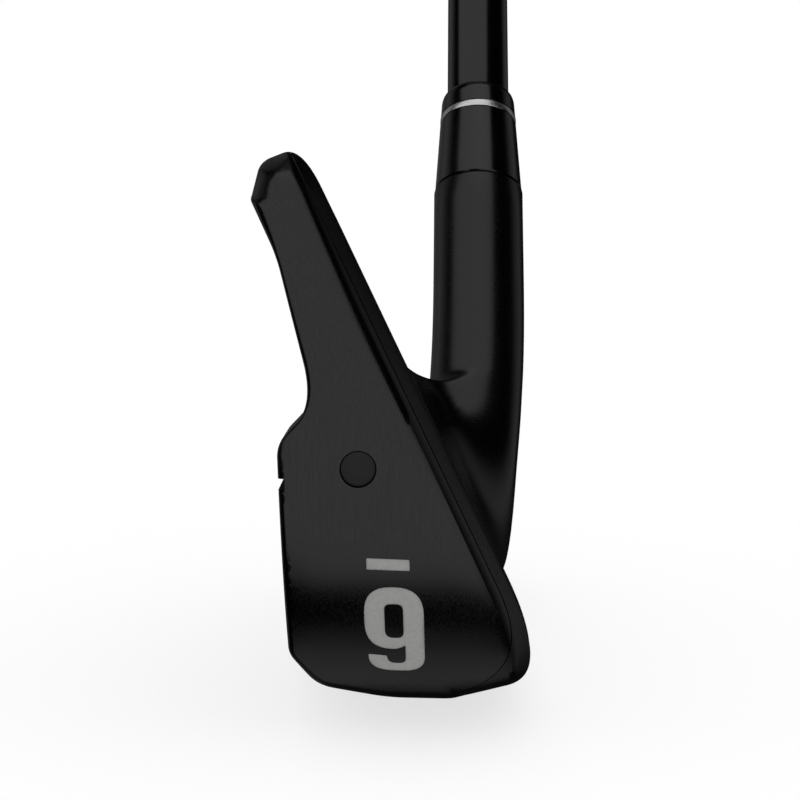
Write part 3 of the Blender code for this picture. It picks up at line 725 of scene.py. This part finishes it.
def seam_profile(gap):
    """Region in front of the weld seam: the face, the leading edge and the front sole."""
    top = face_point(SEAM_DEPTH, 80.0)
    knee = face_point(SEAM_DEPTH, 13.5)
    corners = [
        (top, 0.1, 0.1), (knee, 4.0, 2.0), ((7.2, 6.6), 2.4, 3.0), ((-2.3, -1.0), 0.1, 0.1),
        ((-2.3, -9.0), 0.1, 0.1), ((40.0, -9.0), 0.1, 0.1), ((40.0, 80.0), 0.1, 0.1),
    ]
    path, _ = soft_path(corners, [(1, 0), (24, 0), (24, 0), (1, 0), (1, 0), (1, 0), (1, 0)])
    return path - np.array([gap, 0.0])


def prism(profile, start_y, end_y):
    """Extrude a profile of the XZ plane along Y."""
    return loft([np.array([(x, y, z) for x, z in profile]) for y in (start_y, end_y)])


def groove_cutter():
    """One mesh with every score line, each a shallow trapezoid across the face."""
    mesh = bmesh.new()
    for index in range(GROOVE_COUNT):
        up = GROOVE_FIRST_V + GROOVE_PITCH * index
        room = TOE_TOP_Y + (TOE_TOP_V - up - 3.6) * (HEEL_TOP_Y - TOE_TOP_Y) / (TOE_TOP_V - HEEL_TOP_V)
        heel_end = min(GROOVE_HALF_LENGTH, room)
        wide, narrow = GROOVE_WIDTH * 0.75, GROOVE_WIDTH * 0.25
        outline = [face_point(-0.5, up - wide), face_point(-0.5, up + wide),
                   face_point(GROOVE_DEPTH, up + narrow), face_point(GROOVE_DEPTH, up - narrow)]
        ends = (-GROOVE_HALF_LENGTH, heel_end)
        for row in add_rows(mesh, [[(x, y, z) for x, z in outline] for y in ends]):
            mesh.faces.new(row)
    return mesh


def back_x(y, z):
    """Where the muscle's back stands at height z, on the straight run below its top edge."""
    corners = section_corners(y)
    (top_x, top_z), (low_x, low_z) = corners[7][0], corners[8][0]
    return low_x + (top_x - low_x) * (z - low_z) / (top_z - low_z)


def channel_cutter():
    """The narrow channel that runs from toe to heel across the muscle's back."""
    rings = []
    for y in np.linspace(-46.0, 26.0, 37):
        floor = back_x(max(y, TOE_TOP_Y - 1.0), CHANNEL_Z) + CHANNEL_DEPTH * min(1.0, (27.0 - y) / 6.0)
        low, high = CHANNEL_Z - CHANNEL_HEIGHT / 2, CHANNEL_Z + CHANNEL_HEIGHT / 2
        rings.append(np.array([(floor, y, low), (floor, y, high), (floor - 4.0, y, high),
                               (floor - 4.0, y, low)]))
    return loft(rings)


def number_outlines():
    """The numeral and its underline in the XZ plane: outer outline, counter, bar."""
    outer = [
        ((-2.65, 4.29), 2.6, 2.5), ((2.65, 4.29), 2.5, 2.6), ((2.65, -4.31), 1.6, 1.9),
        ((-2.42, -4.31), 2.3, 1.55), ((-2.43, -2.49), 0.1, 0.1), ((-0.76, -2.62), 0.15, 0.1),
        ((-0.62, -3.40), 0.5, 0.6), ((0.90, -3.42), 0.6, 0.5), ((0.90, -1.57), 0.12, 0.12),
        ((0.30, -1.95), 0.5, 0.5), ((-2.65, -1.95), 2.4, 2.6),
    ]
    counter = [((-0.83, 2.60), 0.5, 0.6), ((0.78, 2.60), 0.6, 0.5), ((0.78, -0.74), 0.6, 0.6),
               ((-0.83, -0.74), 0.7, 0.7)]
    bar = [((-5.99, 17.60), 0.1, 0.1), ((-2.09, 17.53), 0.1, 0.1), ((-2.00, 16.44), 0.1, 0.1),
           ((-5.94, 16.50), 0.1, 0.1)]

    def placed(corners, samples):
        path, _ = soft_path(corners, [(samples, 0)] * len(corners), 0.9)
        return np.stack([NUMBER_X + path[:, 0] * 1.03 - NUMBER_LEAN * path[:, 1], NUMBER_Z + path[:, 1]], 1)

    return placed(outer, 9), placed(counter, 9), soft_path(bar, [(3, 0)] * 4)[0]


def inset_outline(outline, amount):
    """Move a closed outline inwards (or outwards for a negative amount)."""
    following = np.roll(outline, -1, axis=0)
    area = np.sum(outline[:, 0] * following[:, 1] - following[:, 0] * outline[:, 1])
    return outline + outline_normals(outline) * amount * (1 if area > 0 else -1)


def toe_inlay(outer, holes, top_depth, floor_depth):
    """Closed solid under an outline on the toe, between two depths below the toe's surface."""
    loops = [outer] + holes
    flat = np.concatenate(loops)
    grid = grid_over(outer, INLAY_SPACING)
    keep = inside(grid, inset_outline(outer, INLAY_CLEARANCE))
    for hole in holes:
        keep &= ~inside(grid, inset_outline(hole, -INLAY_CLEARANCE))
    flat = np.concatenate([flat, grid[keep]])
    starts = np.cumsum([0] + [len(part) for part in loops])
    edges = [(first + k, first + (k + 1) % len(part))
             for first, part in zip(starts, loops) for k in range(len(part))]
    points, _, faces, _, _, _ = delaunay_2d_cdt([Vector(p) for p in flat], edges, [], 0, 1e-6)
    points = np.array([list(p) for p in points])
    middles = np.array([points[list(face)].mean(axis=0) for face in faces])
    kept = inside(middles, outer)
    for hole in holes:
        kept &= ~inside(middles, hole)
    mesh = bmesh.new()
    heights = toe_face(points[:, 0], points[:, 1])
    sheets = [add_ring(mesh, np.stack([points[:, 0], heights + depth, points[:, 1]], 1))
              for depth in (top_depth, floor_depth)]
    for face, good in zip(faces, kept):
        if good:
            mesh.faces.new([sheets[0][i] for i in face])
            mesh.faces.new([sheets[1][i] for i in reversed(face)])
    for first, second in edges:
        mesh.faces.new((sheets[0][first], sheets[0][second], sheets[1][second], sheets[1][first]))
    loose = [vertex for vertex in mesh.verts if not vertex.link_faces]
    bmesh.ops.delete(mesh, geom=loose, context="VERTS")
    return mesh


def circle(centre, first, second, radius, sides):
    turns = [2 * math.pi * side / sides for side in range(sides)]
    return [centre + first * radius * math.cos(turn) + second * radius * math.sin(turn) for turn in turns]


def shaft_circle(along, radius, sides=ROUND_SIDES):
    return circle(SHAFT_FOOT + SHAFT_DIRECTION * along, Vector((1, 0, 0)), HEEL_SIDE, radius, sides)


def turned(profile):
    """Tube turned about the shaft axis from a closed profile of (along, radius) pairs."""
    return loft([shaft_circle(along, radius) for along, radius in profile], closed=True)


def toe_circle(y, radius):
    return circle(Vector((PORT_X, y, PORT_Z)), Vector((1, 0, 0)), Vector((0, 0, 1)), radius, 64)


def finish_piece(piece, look, node):
    """Give a new piece its material and body, and hide the CAD node it stands for."""
    piece.data.materials.clear()
    piece.data.materials.append(look)
    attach(piece, BODY)
    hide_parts(node)


# Materials.

class Tree:
    """Short hand for building a node tree."""

    def __init__(self, tree):
        self.tree = tree

    def add(self, kind, **settings):
        node = self.tree.nodes.new(kind)
        for key, value in settings.items():
            setattr(node, key, value)
        return node

    def link(self, source, target):
        self.tree.links.new(source, target)

    def ramp(self, value, low, high, start, end, **settings):
        made = self.add("ShaderNodeMapRange", **settings)
        self.link(value, made.inputs["Value"])
        for name, number in zip(("From Min", "From Max", "To Min", "To Max"), (low, high, start, end)):
            made.inputs[name].default_value = number
        return made.outputs["Result"]

    def math(self, operation, first, second):
        made = self.add("ShaderNodeMath", operation=operation)
        for socket, value in zip(made.inputs, (first, second)):
            if isinstance(value, (int, float)):
                socket.default_value = value
            else:
                self.link(value, socket)
        return made.outputs[0]


class Nodes(Tree):
    """The node tree of a new material."""

    def __init__(self, name):
        self.material = bpy.data.materials.new(name)
        self.material.use_nodes = True
        super().__init__(self.material.node_tree)
        self.shader = self.tree.nodes["Principled BSDF"]
        self.place = self.add("ShaderNodeTexCoord").outputs["Object"]

    def noise(self, scale, detail=2.0, roughness=0.5):
        """Noise whose scale is per metre, one number or one for each axis."""
        stretch = self.add("ShaderNodeMapping")
        stretch.inputs["Scale"].default_value = scale if isinstance(scale, tuple) else (scale,) * 3
        self.link(self.place, stretch.inputs["Vector"])
        made = self.add("ShaderNodeTexNoise")
        made.inputs["Scale"].default_value = 1.0
        made.inputs["Detail"].default_value = detail
        made.inputs["Roughness"].default_value = roughness
        self.link(stretch.outputs["Vector"], made.inputs["Vector"])
        return made.outputs["Fac"]

    def color(self, factor, first, second):
        made = self.add("ShaderNodeMix", data_type="RGBA")
        self.link(factor, made.inputs["Factor"])
        made.inputs["A"].default_value = (*first, 1.0)
        made.inputs["B"].default_value = (*second, 1.0)
        self.link(made.outputs["Result"], self.shader.inputs["Base Color"])

    def rough(self, value, low, high):
        self.link(self.ramp(value, 0.3, 0.7, low, high), self.shader.inputs["Roughness"])

    def bump(self, height, distance):
        made = self.add("ShaderNodeBump")
        made.inputs["Distance"].default_value = distance
        made.inputs["Strength"].default_value = 1.0
        self.link(height, made.inputs["Height"])
        self.link(made.outputs["Normal"], self.shader.inputs["Normal"])

    def set(self, **values):
        for name, value in values.items():
            self.shader.inputs[name.replace("_", " ")].default_value = value


def shade(color, factor):
    return tuple(channel * factor for channel in color)


def brushed_black(name, brush_scale, dark, light, roughness, depth):
    """Black PVD over brushed steel: fine streaks in colour, gloss and relief."""
    nodes = Nodes(name)
    streaks = nodes.noise(brush_scale, 3.0, 0.6)
    clouds = nodes.noise(90.0, 2.0)
    nodes.color(nodes.ramp(streaks, 0.3, 0.7, 0.0, 1.0), (dark,) * 3, (light,) * 3)
    rough = nodes.math("ADD", nodes.ramp(streaks, 0.25, 0.75, roughness - 0.08, roughness + 0.1),
                       nodes.ramp(clouds, 0.3, 0.7, -0.02, 0.03))
    nodes.link(rough, nodes.shader.inputs["Roughness"])
    nodes.bump(streaks, depth)
    nodes.set(Metallic=1.0)
    return nodes.material


def gloss_black(name, roughness, coat):
    nodes = Nodes(name)
    clouds = nodes.noise(120.0, 3.0)
    nodes.color(clouds, GLOSS_BLACK, shade(GLOSS_BLACK, 1.25))
    nodes.rough(clouds, roughness - 0.03, roughness + 0.04)
    nodes.bump(nodes.noise(4000.0, 2.0), 0.000002)
    nodes.set(Metallic=1.0, Coat_Weight=coat, Coat_Roughness=0.12)
    return nodes.material


def plain_metal(name, color, roughness, scale):
    nodes = Nodes(name)
    grain = nodes.noise(scale, 3.0)
    nodes.color(grain, shade(color, 0.88), color)
    nodes.rough(grain, roughness - 0.06, roughness + 0.08)
    nodes.bump(grain, 0.00001)
    nodes.set(Metallic=1.0)
    return nodes.material


def paint(name, color):
    nodes = Nodes(name)
    speckle = nodes.noise(2500.0, 3.0)
    nodes.color(nodes.ramp(speckle, 0.35, 0.65, 0.0, 1.0), shade(color, 0.9), color)
    nodes.rough(nodes.noise(300.0, 2.0), 0.5, 0.62)
    nodes.bump(speckle, 0.00001)
    return nodes.material


def soft_matter(name, color, roughness, scale, depth):
    nodes = Nodes(name)
    grain = nodes.noise(scale, 4.0, 0.6)
    nodes.color(grain, shade(color, 0.75), color)
    nodes.rough(grain, roughness - 0.08, roughness + 0.05)
    nodes.bump(grain, depth)
    return nodes.material


# Head.

def build_head():
    steel = brushed_black("black_pvd", (9000.0, 9000.0, 130.0), 0.030, 0.040, 0.24, 0.000004)
    face_steel = brushed_black("black_pvd_face", (4000.0, 60.0, 4000.0), 0.030, 0.042, 0.34, 0.000006)
    skin = add_object("skin", head_skin(), 28.0)
    behind = add_object("behind_cut", prism(seam_profile(SEAM_GAP), -60.0, DEEP_SEAM_Y))
    deep_seam = prism(seam_profile(DEEP_SEAM_GAP), DEEP_SEAM_Y - 1.0, INSERT_HEEL_Y + SEAM_GAP)
    deep = add_object("deep_cut", deep_seam)
    region = add_object("face_cut", prism(seam_profile(0.0), -60.0, INSERT_HEEL_Y))
    port_y = float(toe_face(PORT_X, PORT_Z))
    port = add_object("port_cut", loft([toe_circle(y, PORT_RADIUS) for y in (-50.0, port_y + 4.0)]))
    outer, counter, bar = number_outlines()
    digit_cut = add_object("digit_cut", toe_inlay(outer, [counter], -1.0, ENGRAVING_DEPTH))
    bar_cut = add_object("bar_cut", toe_inlay(bar, [], -1.0, ENGRAVING_DEPTH))
    channel = add_object("channel_cut", channel_cutter())
    grooves = add_object("groove_cut", groove_cutter())

    insert = bpy.data.objects.new("face_plate", skin.data.copy())
    body = bpy.data.objects.new("iron_head", skin.data.copy())
    for made in (insert, body):
        bpy.context.scene.collection.objects.link(made)
    cutters = [behind, deep, port, digit_cut, bar_cut, channel]
    carve(body, cutters, ["DIFFERENCE"] * len(cutters))
    carve(insert, [region, grooves], ["INTERSECT", "DIFFERENCE"])
    for made in (insert, body):
        inherit_normals(made, skin.data)
    for made in cutters + [region, grooves, skin]:
        bpy.data.objects.remove(made, do_unlink=True)
    finish_piece(body, steel, "head_body")
    finish_piece(insert, face_steel, "face_insert")

    number_paint = paint("number_enamel", (0.27, 0.27, 0.265))
    floor = ENGRAVING_DEPTH - PAINT_CLEARANCE
    for name, outline, holes in (("number_paint", outer, [counter]), ("underline_paint", bar, [])):
        holes = [inset_outline(hole, -PAINT_CLEARANCE) for hole in holes]
        outline = inset_outline(outline, PAINT_CLEARANCE)
        fill = add_object(name, toe_inlay(outline, holes, PAINT_LEVEL, floor))
        fill.data.materials.append(number_paint)
        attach(fill, BODY)

    plug_black = gloss_black("plug_black", 0.42, 0.0)
    top = port_y + PLUG_RECESS
    profile = [(top, 0.02), (top, PLUG_RADIUS - 0.1), (top + 0.03, PLUG_RADIUS - 0.03),
               (top + 0.1, PLUG_RADIUS), (top + 2.4, PLUG_RADIUS), (top + 2.6, PLUG_RADIUS - 0.2)]
    plug = add_object("port_plug", loft([toe_circle(y, radius) for y, radius in profile]))
    finish_piece(plug, plug_black, "toe_port_plug")


# Shaft, ferrule, grip.

def shaft_radius(along):
    """Outer radius of the stepped tube: each step up follows the last by STEP_PITCH."""
    steps = math.floor((along - FIRST_STEP) / STEP_PITCH) + 1
    steps = min(max(steps, 0), STEP_COUNT)
    return TIP_RADIUS + (BUTT_RADIUS - TIP_RADIUS) * steps / STEP_COUNT


def build_shaft():
    profile = [(SHAFT_TIP, TIP_RADIUS - 0.3), (SHAFT_TIP + 0.6, TIP_RADIUS)]
    for step in range(STEP_COUNT):
        along = FIRST_STEP + STEP_PITCH * step
        low, high = shaft_radius(along - STEP_PITCH / 2), shaft_radius(along + STEP_PITCH / 2)
        for share in np.linspace(0.0, 1.0, 7):
            profile.append((along + STEP_RISE * (share - 0.5), low + (high - low) * smooth_step(share)))
    profile.append((SHAFT_BUTT, BUTT_RADIUS))
    last_step = FIRST_STEP + STEP_PITCH * (STEP_COUNT - 1)
    inside_tip = TIP_RADIUS - SHAFT_WALL
    profile += [(SHAFT_BUTT, BUTT_RADIUS - SHAFT_WALL), (last_step, BUTT_RADIUS - SHAFT_WALL),
                (FIRST_STEP, inside_tip), (SHAFT_TIP, inside_tip)]
    tube = add_object("stepped_shaft", turned(profile))
    look = gloss_black("gloss_shaft", 0.2, 0.3)
    finish_piece(tube, look, "shaft")


def ferrule_radius(along):
    share = (along - FERRULE_BOTTOM) / (FERRULE_TOP - FERRULE_BOTTOM)
    return FERRULE_BOTTOM_RADIUS + (FERRULE_TOP_RADIUS - FERRULE_BOTTOM_RADIUS) * share


def build_ferrule():
    plastic = gloss_black("ferrule_gloss", 0.2, 0.3)
    silver = plain_metal("ring_silver", (0.62, 0.62, 0.62), 0.3, 3000.0)
    inner = TIP_RADIUS + 0.03
    gap, bevel = 0.04, 0.15
    ring_top = RING_BOTTOM + RING_HEIGHT
    bottom, top = FERRULE_BOTTOM, RING_BOTTOM - gap
    profile = [(bottom, ferrule_radius(bottom) - bevel), (bottom + bevel, ferrule_radius(bottom))]
    profile += [(along, ferrule_radius(along)) for along in np.linspace(bottom + 1.0, top - bevel, 8)]
    profile += [(top, ferrule_radius(top) - bevel), (top, inner), (bottom, inner)]
    finish_piece(add_object("ferrule_base", turned(profile)), plastic, "ferrule_sleeve")
    proud = 0.05
    profile = [(RING_BOTTOM, ferrule_radius(RING_BOTTOM) - proud)]
    for turn in np.linspace(-75.0, 75.0, 9):
        angle = math.radians(turn)
        profile.append((RING_BOTTOM + RING_HEIGHT / 2 + RING_HEIGHT * 0.48 * math.sin(angle),
                        ferrule_radius(RING_BOTTOM + RING_HEIGHT / 2) + proud * math.cos(angle)))
    profile += [(ring_top, ferrule_radius(ring_top) - proud), (ring_top, inner), (RING_BOTTOM, inner)]
    finish_piece(add_object("ferrule_ring", turned(profile)), silver, "ferrule_trim_ring")
    bottom = ring_top + gap
    shoulder = 1.6
    profile = [(bottom, ferrule_radius(bottom) - bevel), (bottom + bevel, ferrule_radius(bottom)),
               (FERRULE_TOP - shoulder, ferrule_radius(FERRULE_TOP - shoulder))]
    for turn in range(8, 89, 8):
        angle = math.radians(turn)
        start = ferrule_radius(FERRULE_TOP - shoulder)
        profile.append((FERRULE_TOP - shoulder + shoulder * math.sin(angle),
                        start - (start - inner - 0.1) * (1 - math.cos(angle))))
    profile += [(FERRULE_TOP, inner), (bottom, inner)]
    finish_piece(add_object("ferrule_top", turned(profile)), plastic, "ferrule_collar")


def grip_radius(along):
    share = (along - GRIP_MOUTH) / (GRIP_BUTT - GRIP_MOUTH)
    return GRIP_MOUTH_RADIUS + (GRIP_BUTT_RADIUS - GRIP_MOUTH_RADIUS) * min(max(share, 0.0), 1.0)


def grip_depth(along, turn):
    """How deep the grip's moulded pattern is at a place: rings of short slots, and bands."""
    mouth, butt = along - GRIP_MOUTH, GRIP_BUTT - along
    if mouth < GRIP_LIP or butt < GRIP_LIP:
        return 0.0
    if mouth < GRIP_LIP + GRIP_BAND or butt < GRIP_LIP + GRIP_BAND:
        return GRIP_PATTERN_DEPTH
    row = int((mouth - GRIP_LIP - GRIP_BAND) / GRIP_ROW)
    place = (mouth - GRIP_LIP - GRIP_BAND) / GRIP_ROW - row
    spot = (turn / (2 * math.pi) * GRIP_SLOTS + 0.5 * (row % 2)) % 1.0
    across, lengthways = abs(spot - 0.5) / SLOT_HALF_WIDTH, abs(place - 0.5) / SLOT_HALF_LENGTH
    edge = across ** 3 + lengthways ** 3
    return GRIP_PATTERN_DEPTH * smooth_step((1.15 - edge) / 0.5)


def build_grip():
    """The rubber sleeve with its moulded slots and bands, and the cap with its vent."""
    rubber = soft_matter("grip_rubber_look", (0.032, 0.032, 0.033), 0.62, 2200.0, 0.00006)
    inner = BUTT_RADIUS + 0.5
    rings = []
    for along in np.linspace(GRIP_MOUTH, GRIP_BUTT, GRIP_RINGS):
        ring = []
        for side in range(GRIP_SIDES):
            turn = 2 * math.pi * side / GRIP_SIDES
            radius = grip_radius(along) - grip_depth(along, turn)
            nearness = min(along - GRIP_MOUTH, GRIP_BUTT - along)
            radius -= GRIP_ROUND_DEPTH * max(0.0, 1.0 - nearness / GRIP_ROUND) ** 2
            ring.append(SHAFT_FOOT + SHAFT_DIRECTION * along + Vector((1, 0, 0)) * radius * math.cos(turn)
                        + HEEL_SIDE * radius * math.sin(turn))
        rings.append(ring)
    rings += [shaft_circle(along, inner, GRIP_SIDES) for along in (GRIP_BUTT, GRIP_MOUTH)]
    sleeve = add_object("rubber_grip", loft(rings, closed=True), 40.0)
    finish_piece(sleeve, rubber, "grip_sleeve")

    cap_start, rim = GRIP_BUTT + CAP_GAP, GRIP_CAP_RADIUS
    round_height, round_width = 2.2, 3.0
    profile = [(cap_start, VENT_RADIUS), (cap_start, GRIP_BUTT_RADIUS - 0.4), (cap_start + 0.4, rim - 0.3),
               (cap_start + 0.9, rim)]
    for turn in range(0, 91, 9):
        angle = math.radians(turn)
        profile.append((CLUB_LENGTH - round_height + round_height * math.sin(angle),
                        rim - round_width * (1 - math.cos(angle))))
    ring_depth = 0.35
    for place in (9.2, 6.6, 4.0):
        profile += [(CLUB_LENGTH, place + 0.9), (CLUB_LENGTH - ring_depth, place + 0.65),
                    (CLUB_LENGTH - ring_depth, place - 0.05), (CLUB_LENGTH, place - 0.3)]
    profile += [(CLUB_LENGTH, VENT_RADIUS + 0.5), (CLUB_LENGTH - 0.5, VENT_RADIUS)]
    cap_rubber = soft_matter("grip_cap_look", (0.028, 0.028, 0.029), 0.55, 2600.0, 0.00004)
    cap = add_object("rubber_cap", turned(profile), 30.0)
    finish_piece(cap, cap_rubber, "grip_end_cap")


def build_inner_looks():
    """The pieces inside the club keep their CAD shape and get finished materials."""
    looks = {
        "foam_core": soft_matter("urethane_foam", (0.75, 0.72, 0.6), 0.85, 1500.0, 0.0002),
        "toe_weight": plain_metal("tungsten", (0.33, 0.32, 0.31), 0.4, 2500.0),
        "shaft_tip_plug": plain_metal("brass_plug", (0.6, 0.45, 0.2), 0.35, 1800.0),
        "hosel_epoxy": soft_matter("cured_epoxy", (0.7, 0.65, 0.5), 0.35, 400.0, 0.00005),
        "grip_tape": soft_matter("cloth_tape", (0.7, 0.65, 0.5), 0.8, 3000.0, 0.00005),
    }
    for node, look in looks.items():
        for material_slot in frame["nodes"][node].material_slots:
            material_slot.material = look


def build_studio():
    """Pale floor and soft light from a few broad areas of the world."""
    floor_mesh = bmesh.new()
    bmesh.ops.create_grid(floor_mesh, x_segments=1, y_segments=1, size=FLOOR_REACH)
    floor = add_object("studio_floor", floor_mesh)
    pale = Nodes("pale_floor")
    pale.color(pale.noise(3.0), (0.28, 0.28, 0.28), (0.3, 0.3, 0.3))
    pale.set(Roughness=0.9, Emission_Color=(1.0, 1.0, 1.0, 1.0), Emission_Strength=FLOOR_GLOW)
    floor.data.materials.append(pale.material)
    floor.location.z = -FLOOR_DROP * MM
    floor.visible_glossy = False

    world = bpy.data.worlds.new("studio")
    bpy.context.scene.world = world
    world.use_nodes = True
    tree = Tree(world.node_tree)
    background = world.node_tree.nodes["Background"]
    background.inputs["Color"].default_value = (1.0, 1.0, 1.0, 1.0)

    def window(value, edge, top):
        return tree.ramp(value, *edge, 0.0, top, interpolation_type="SMOOTHSTEP")

    def product(first, second):
        return tree.math("MULTIPLY", first, second)

    split = tree.add("ShaderNodeSeparateXYZ")
    tree.link(tree.add("ShaderNodeTexCoord").outputs["Generated"], split.inputs["Vector"])
    x, y, z = split.outputs
    toward_front = product(y, -1.0)
    above = tree.math("ADD", product(x, SOFTBOX_AIM[0]), product(y, SOFTBOX_AIM[1]))
    above = tree.math("ADD", above, product(z, SOFTBOX_AIM[2]))
    softbox = product(window(above, SOFTBOX_EDGE, FRONT_LIGHT), window(toward_front, SOFTBOX_SIDE, 1.0))
    light = tree.math("MAXIMUM", window(toward_front, FRONT_EDGE, FRONT_LIGHT), softbox)
    areas = (
        window(z, TOP_EDGE, TOP_LIGHT),
        window(product(z, -1.0), FLOOR_EDGE, FLOOR_LIGHT),
        product(window(tree.math("ABSOLUTE", x, 0.0), SIDE_EDGE, SIDE_LIGHT), window(y, SIDE_DEPTH, 1.0)),
        product(window(product(x, -1.0), BACK_EDGE, BACK_LIGHT), window(y, BACK_DEPTH, 1.0)),
        RING_LIGHT,
    )
    for area in areas:
        light = tree.math("ADD", light, area)
    rays = tree.add("ShaderNodeLightPath").outputs
    for ray, brightness in (("Is Diffuse Ray", SOFT_LIGHT), ("Is Camera Ray", 1.0)):
        strength = tree.add("ShaderNodeMix", data_type="FLOAT")
        tree.link(rays[ray], strength.inputs["Factor"])
        tree.link(light, strength.inputs["A"])
        strength.inputs["B"].default_value = brightness
        light = strength.outputs["Result"]
    tree.link(light, background.inputs["Strength"])


def build_camera():
    yaw, pitch, roll = (math.radians(angle) for angle in (CAMERA_YAW, CAMERA_PITCH, CAMERA_ROLL))
    forward = Vector((math.sin(yaw) * math.cos(pitch), math.cos(yaw) * math.cos(pitch), -math.sin(pitch)))
    level = Vector((math.cos(yaw), -math.sin(yaw), 0.0))
    upright = level.cross(forward)
    right = level * math.cos(roll) + upright * math.sin(roll)
    up = upright * math.cos(roll) - level * math.sin(roll)
    data = bpy.data.cameras.new("toe_camera")
    data.sensor_width = 36.0
    data.lens = CAMERA_LENS
    data.clip_start = 0.01
    data.clip_end = 50.0
    camera = bpy.data.objects.new("toe_camera", data)
    turn = Matrix((right, up, -forward)).transposed().to_4x4()
    camera.matrix_world = Matrix.Translation(Vector(CAMERA_PLACE) * MM) @ turn
    bpy.context.scene.collection.objects.link(camera)
    bpy.context.scene.camera = camera
    bpy.context.scene.view_settings.view_transform = "Standard"


build_head()
build_shaft()
build_ferrule()
build_grip()
build_inner_looks()
build_studio()
build_camera()
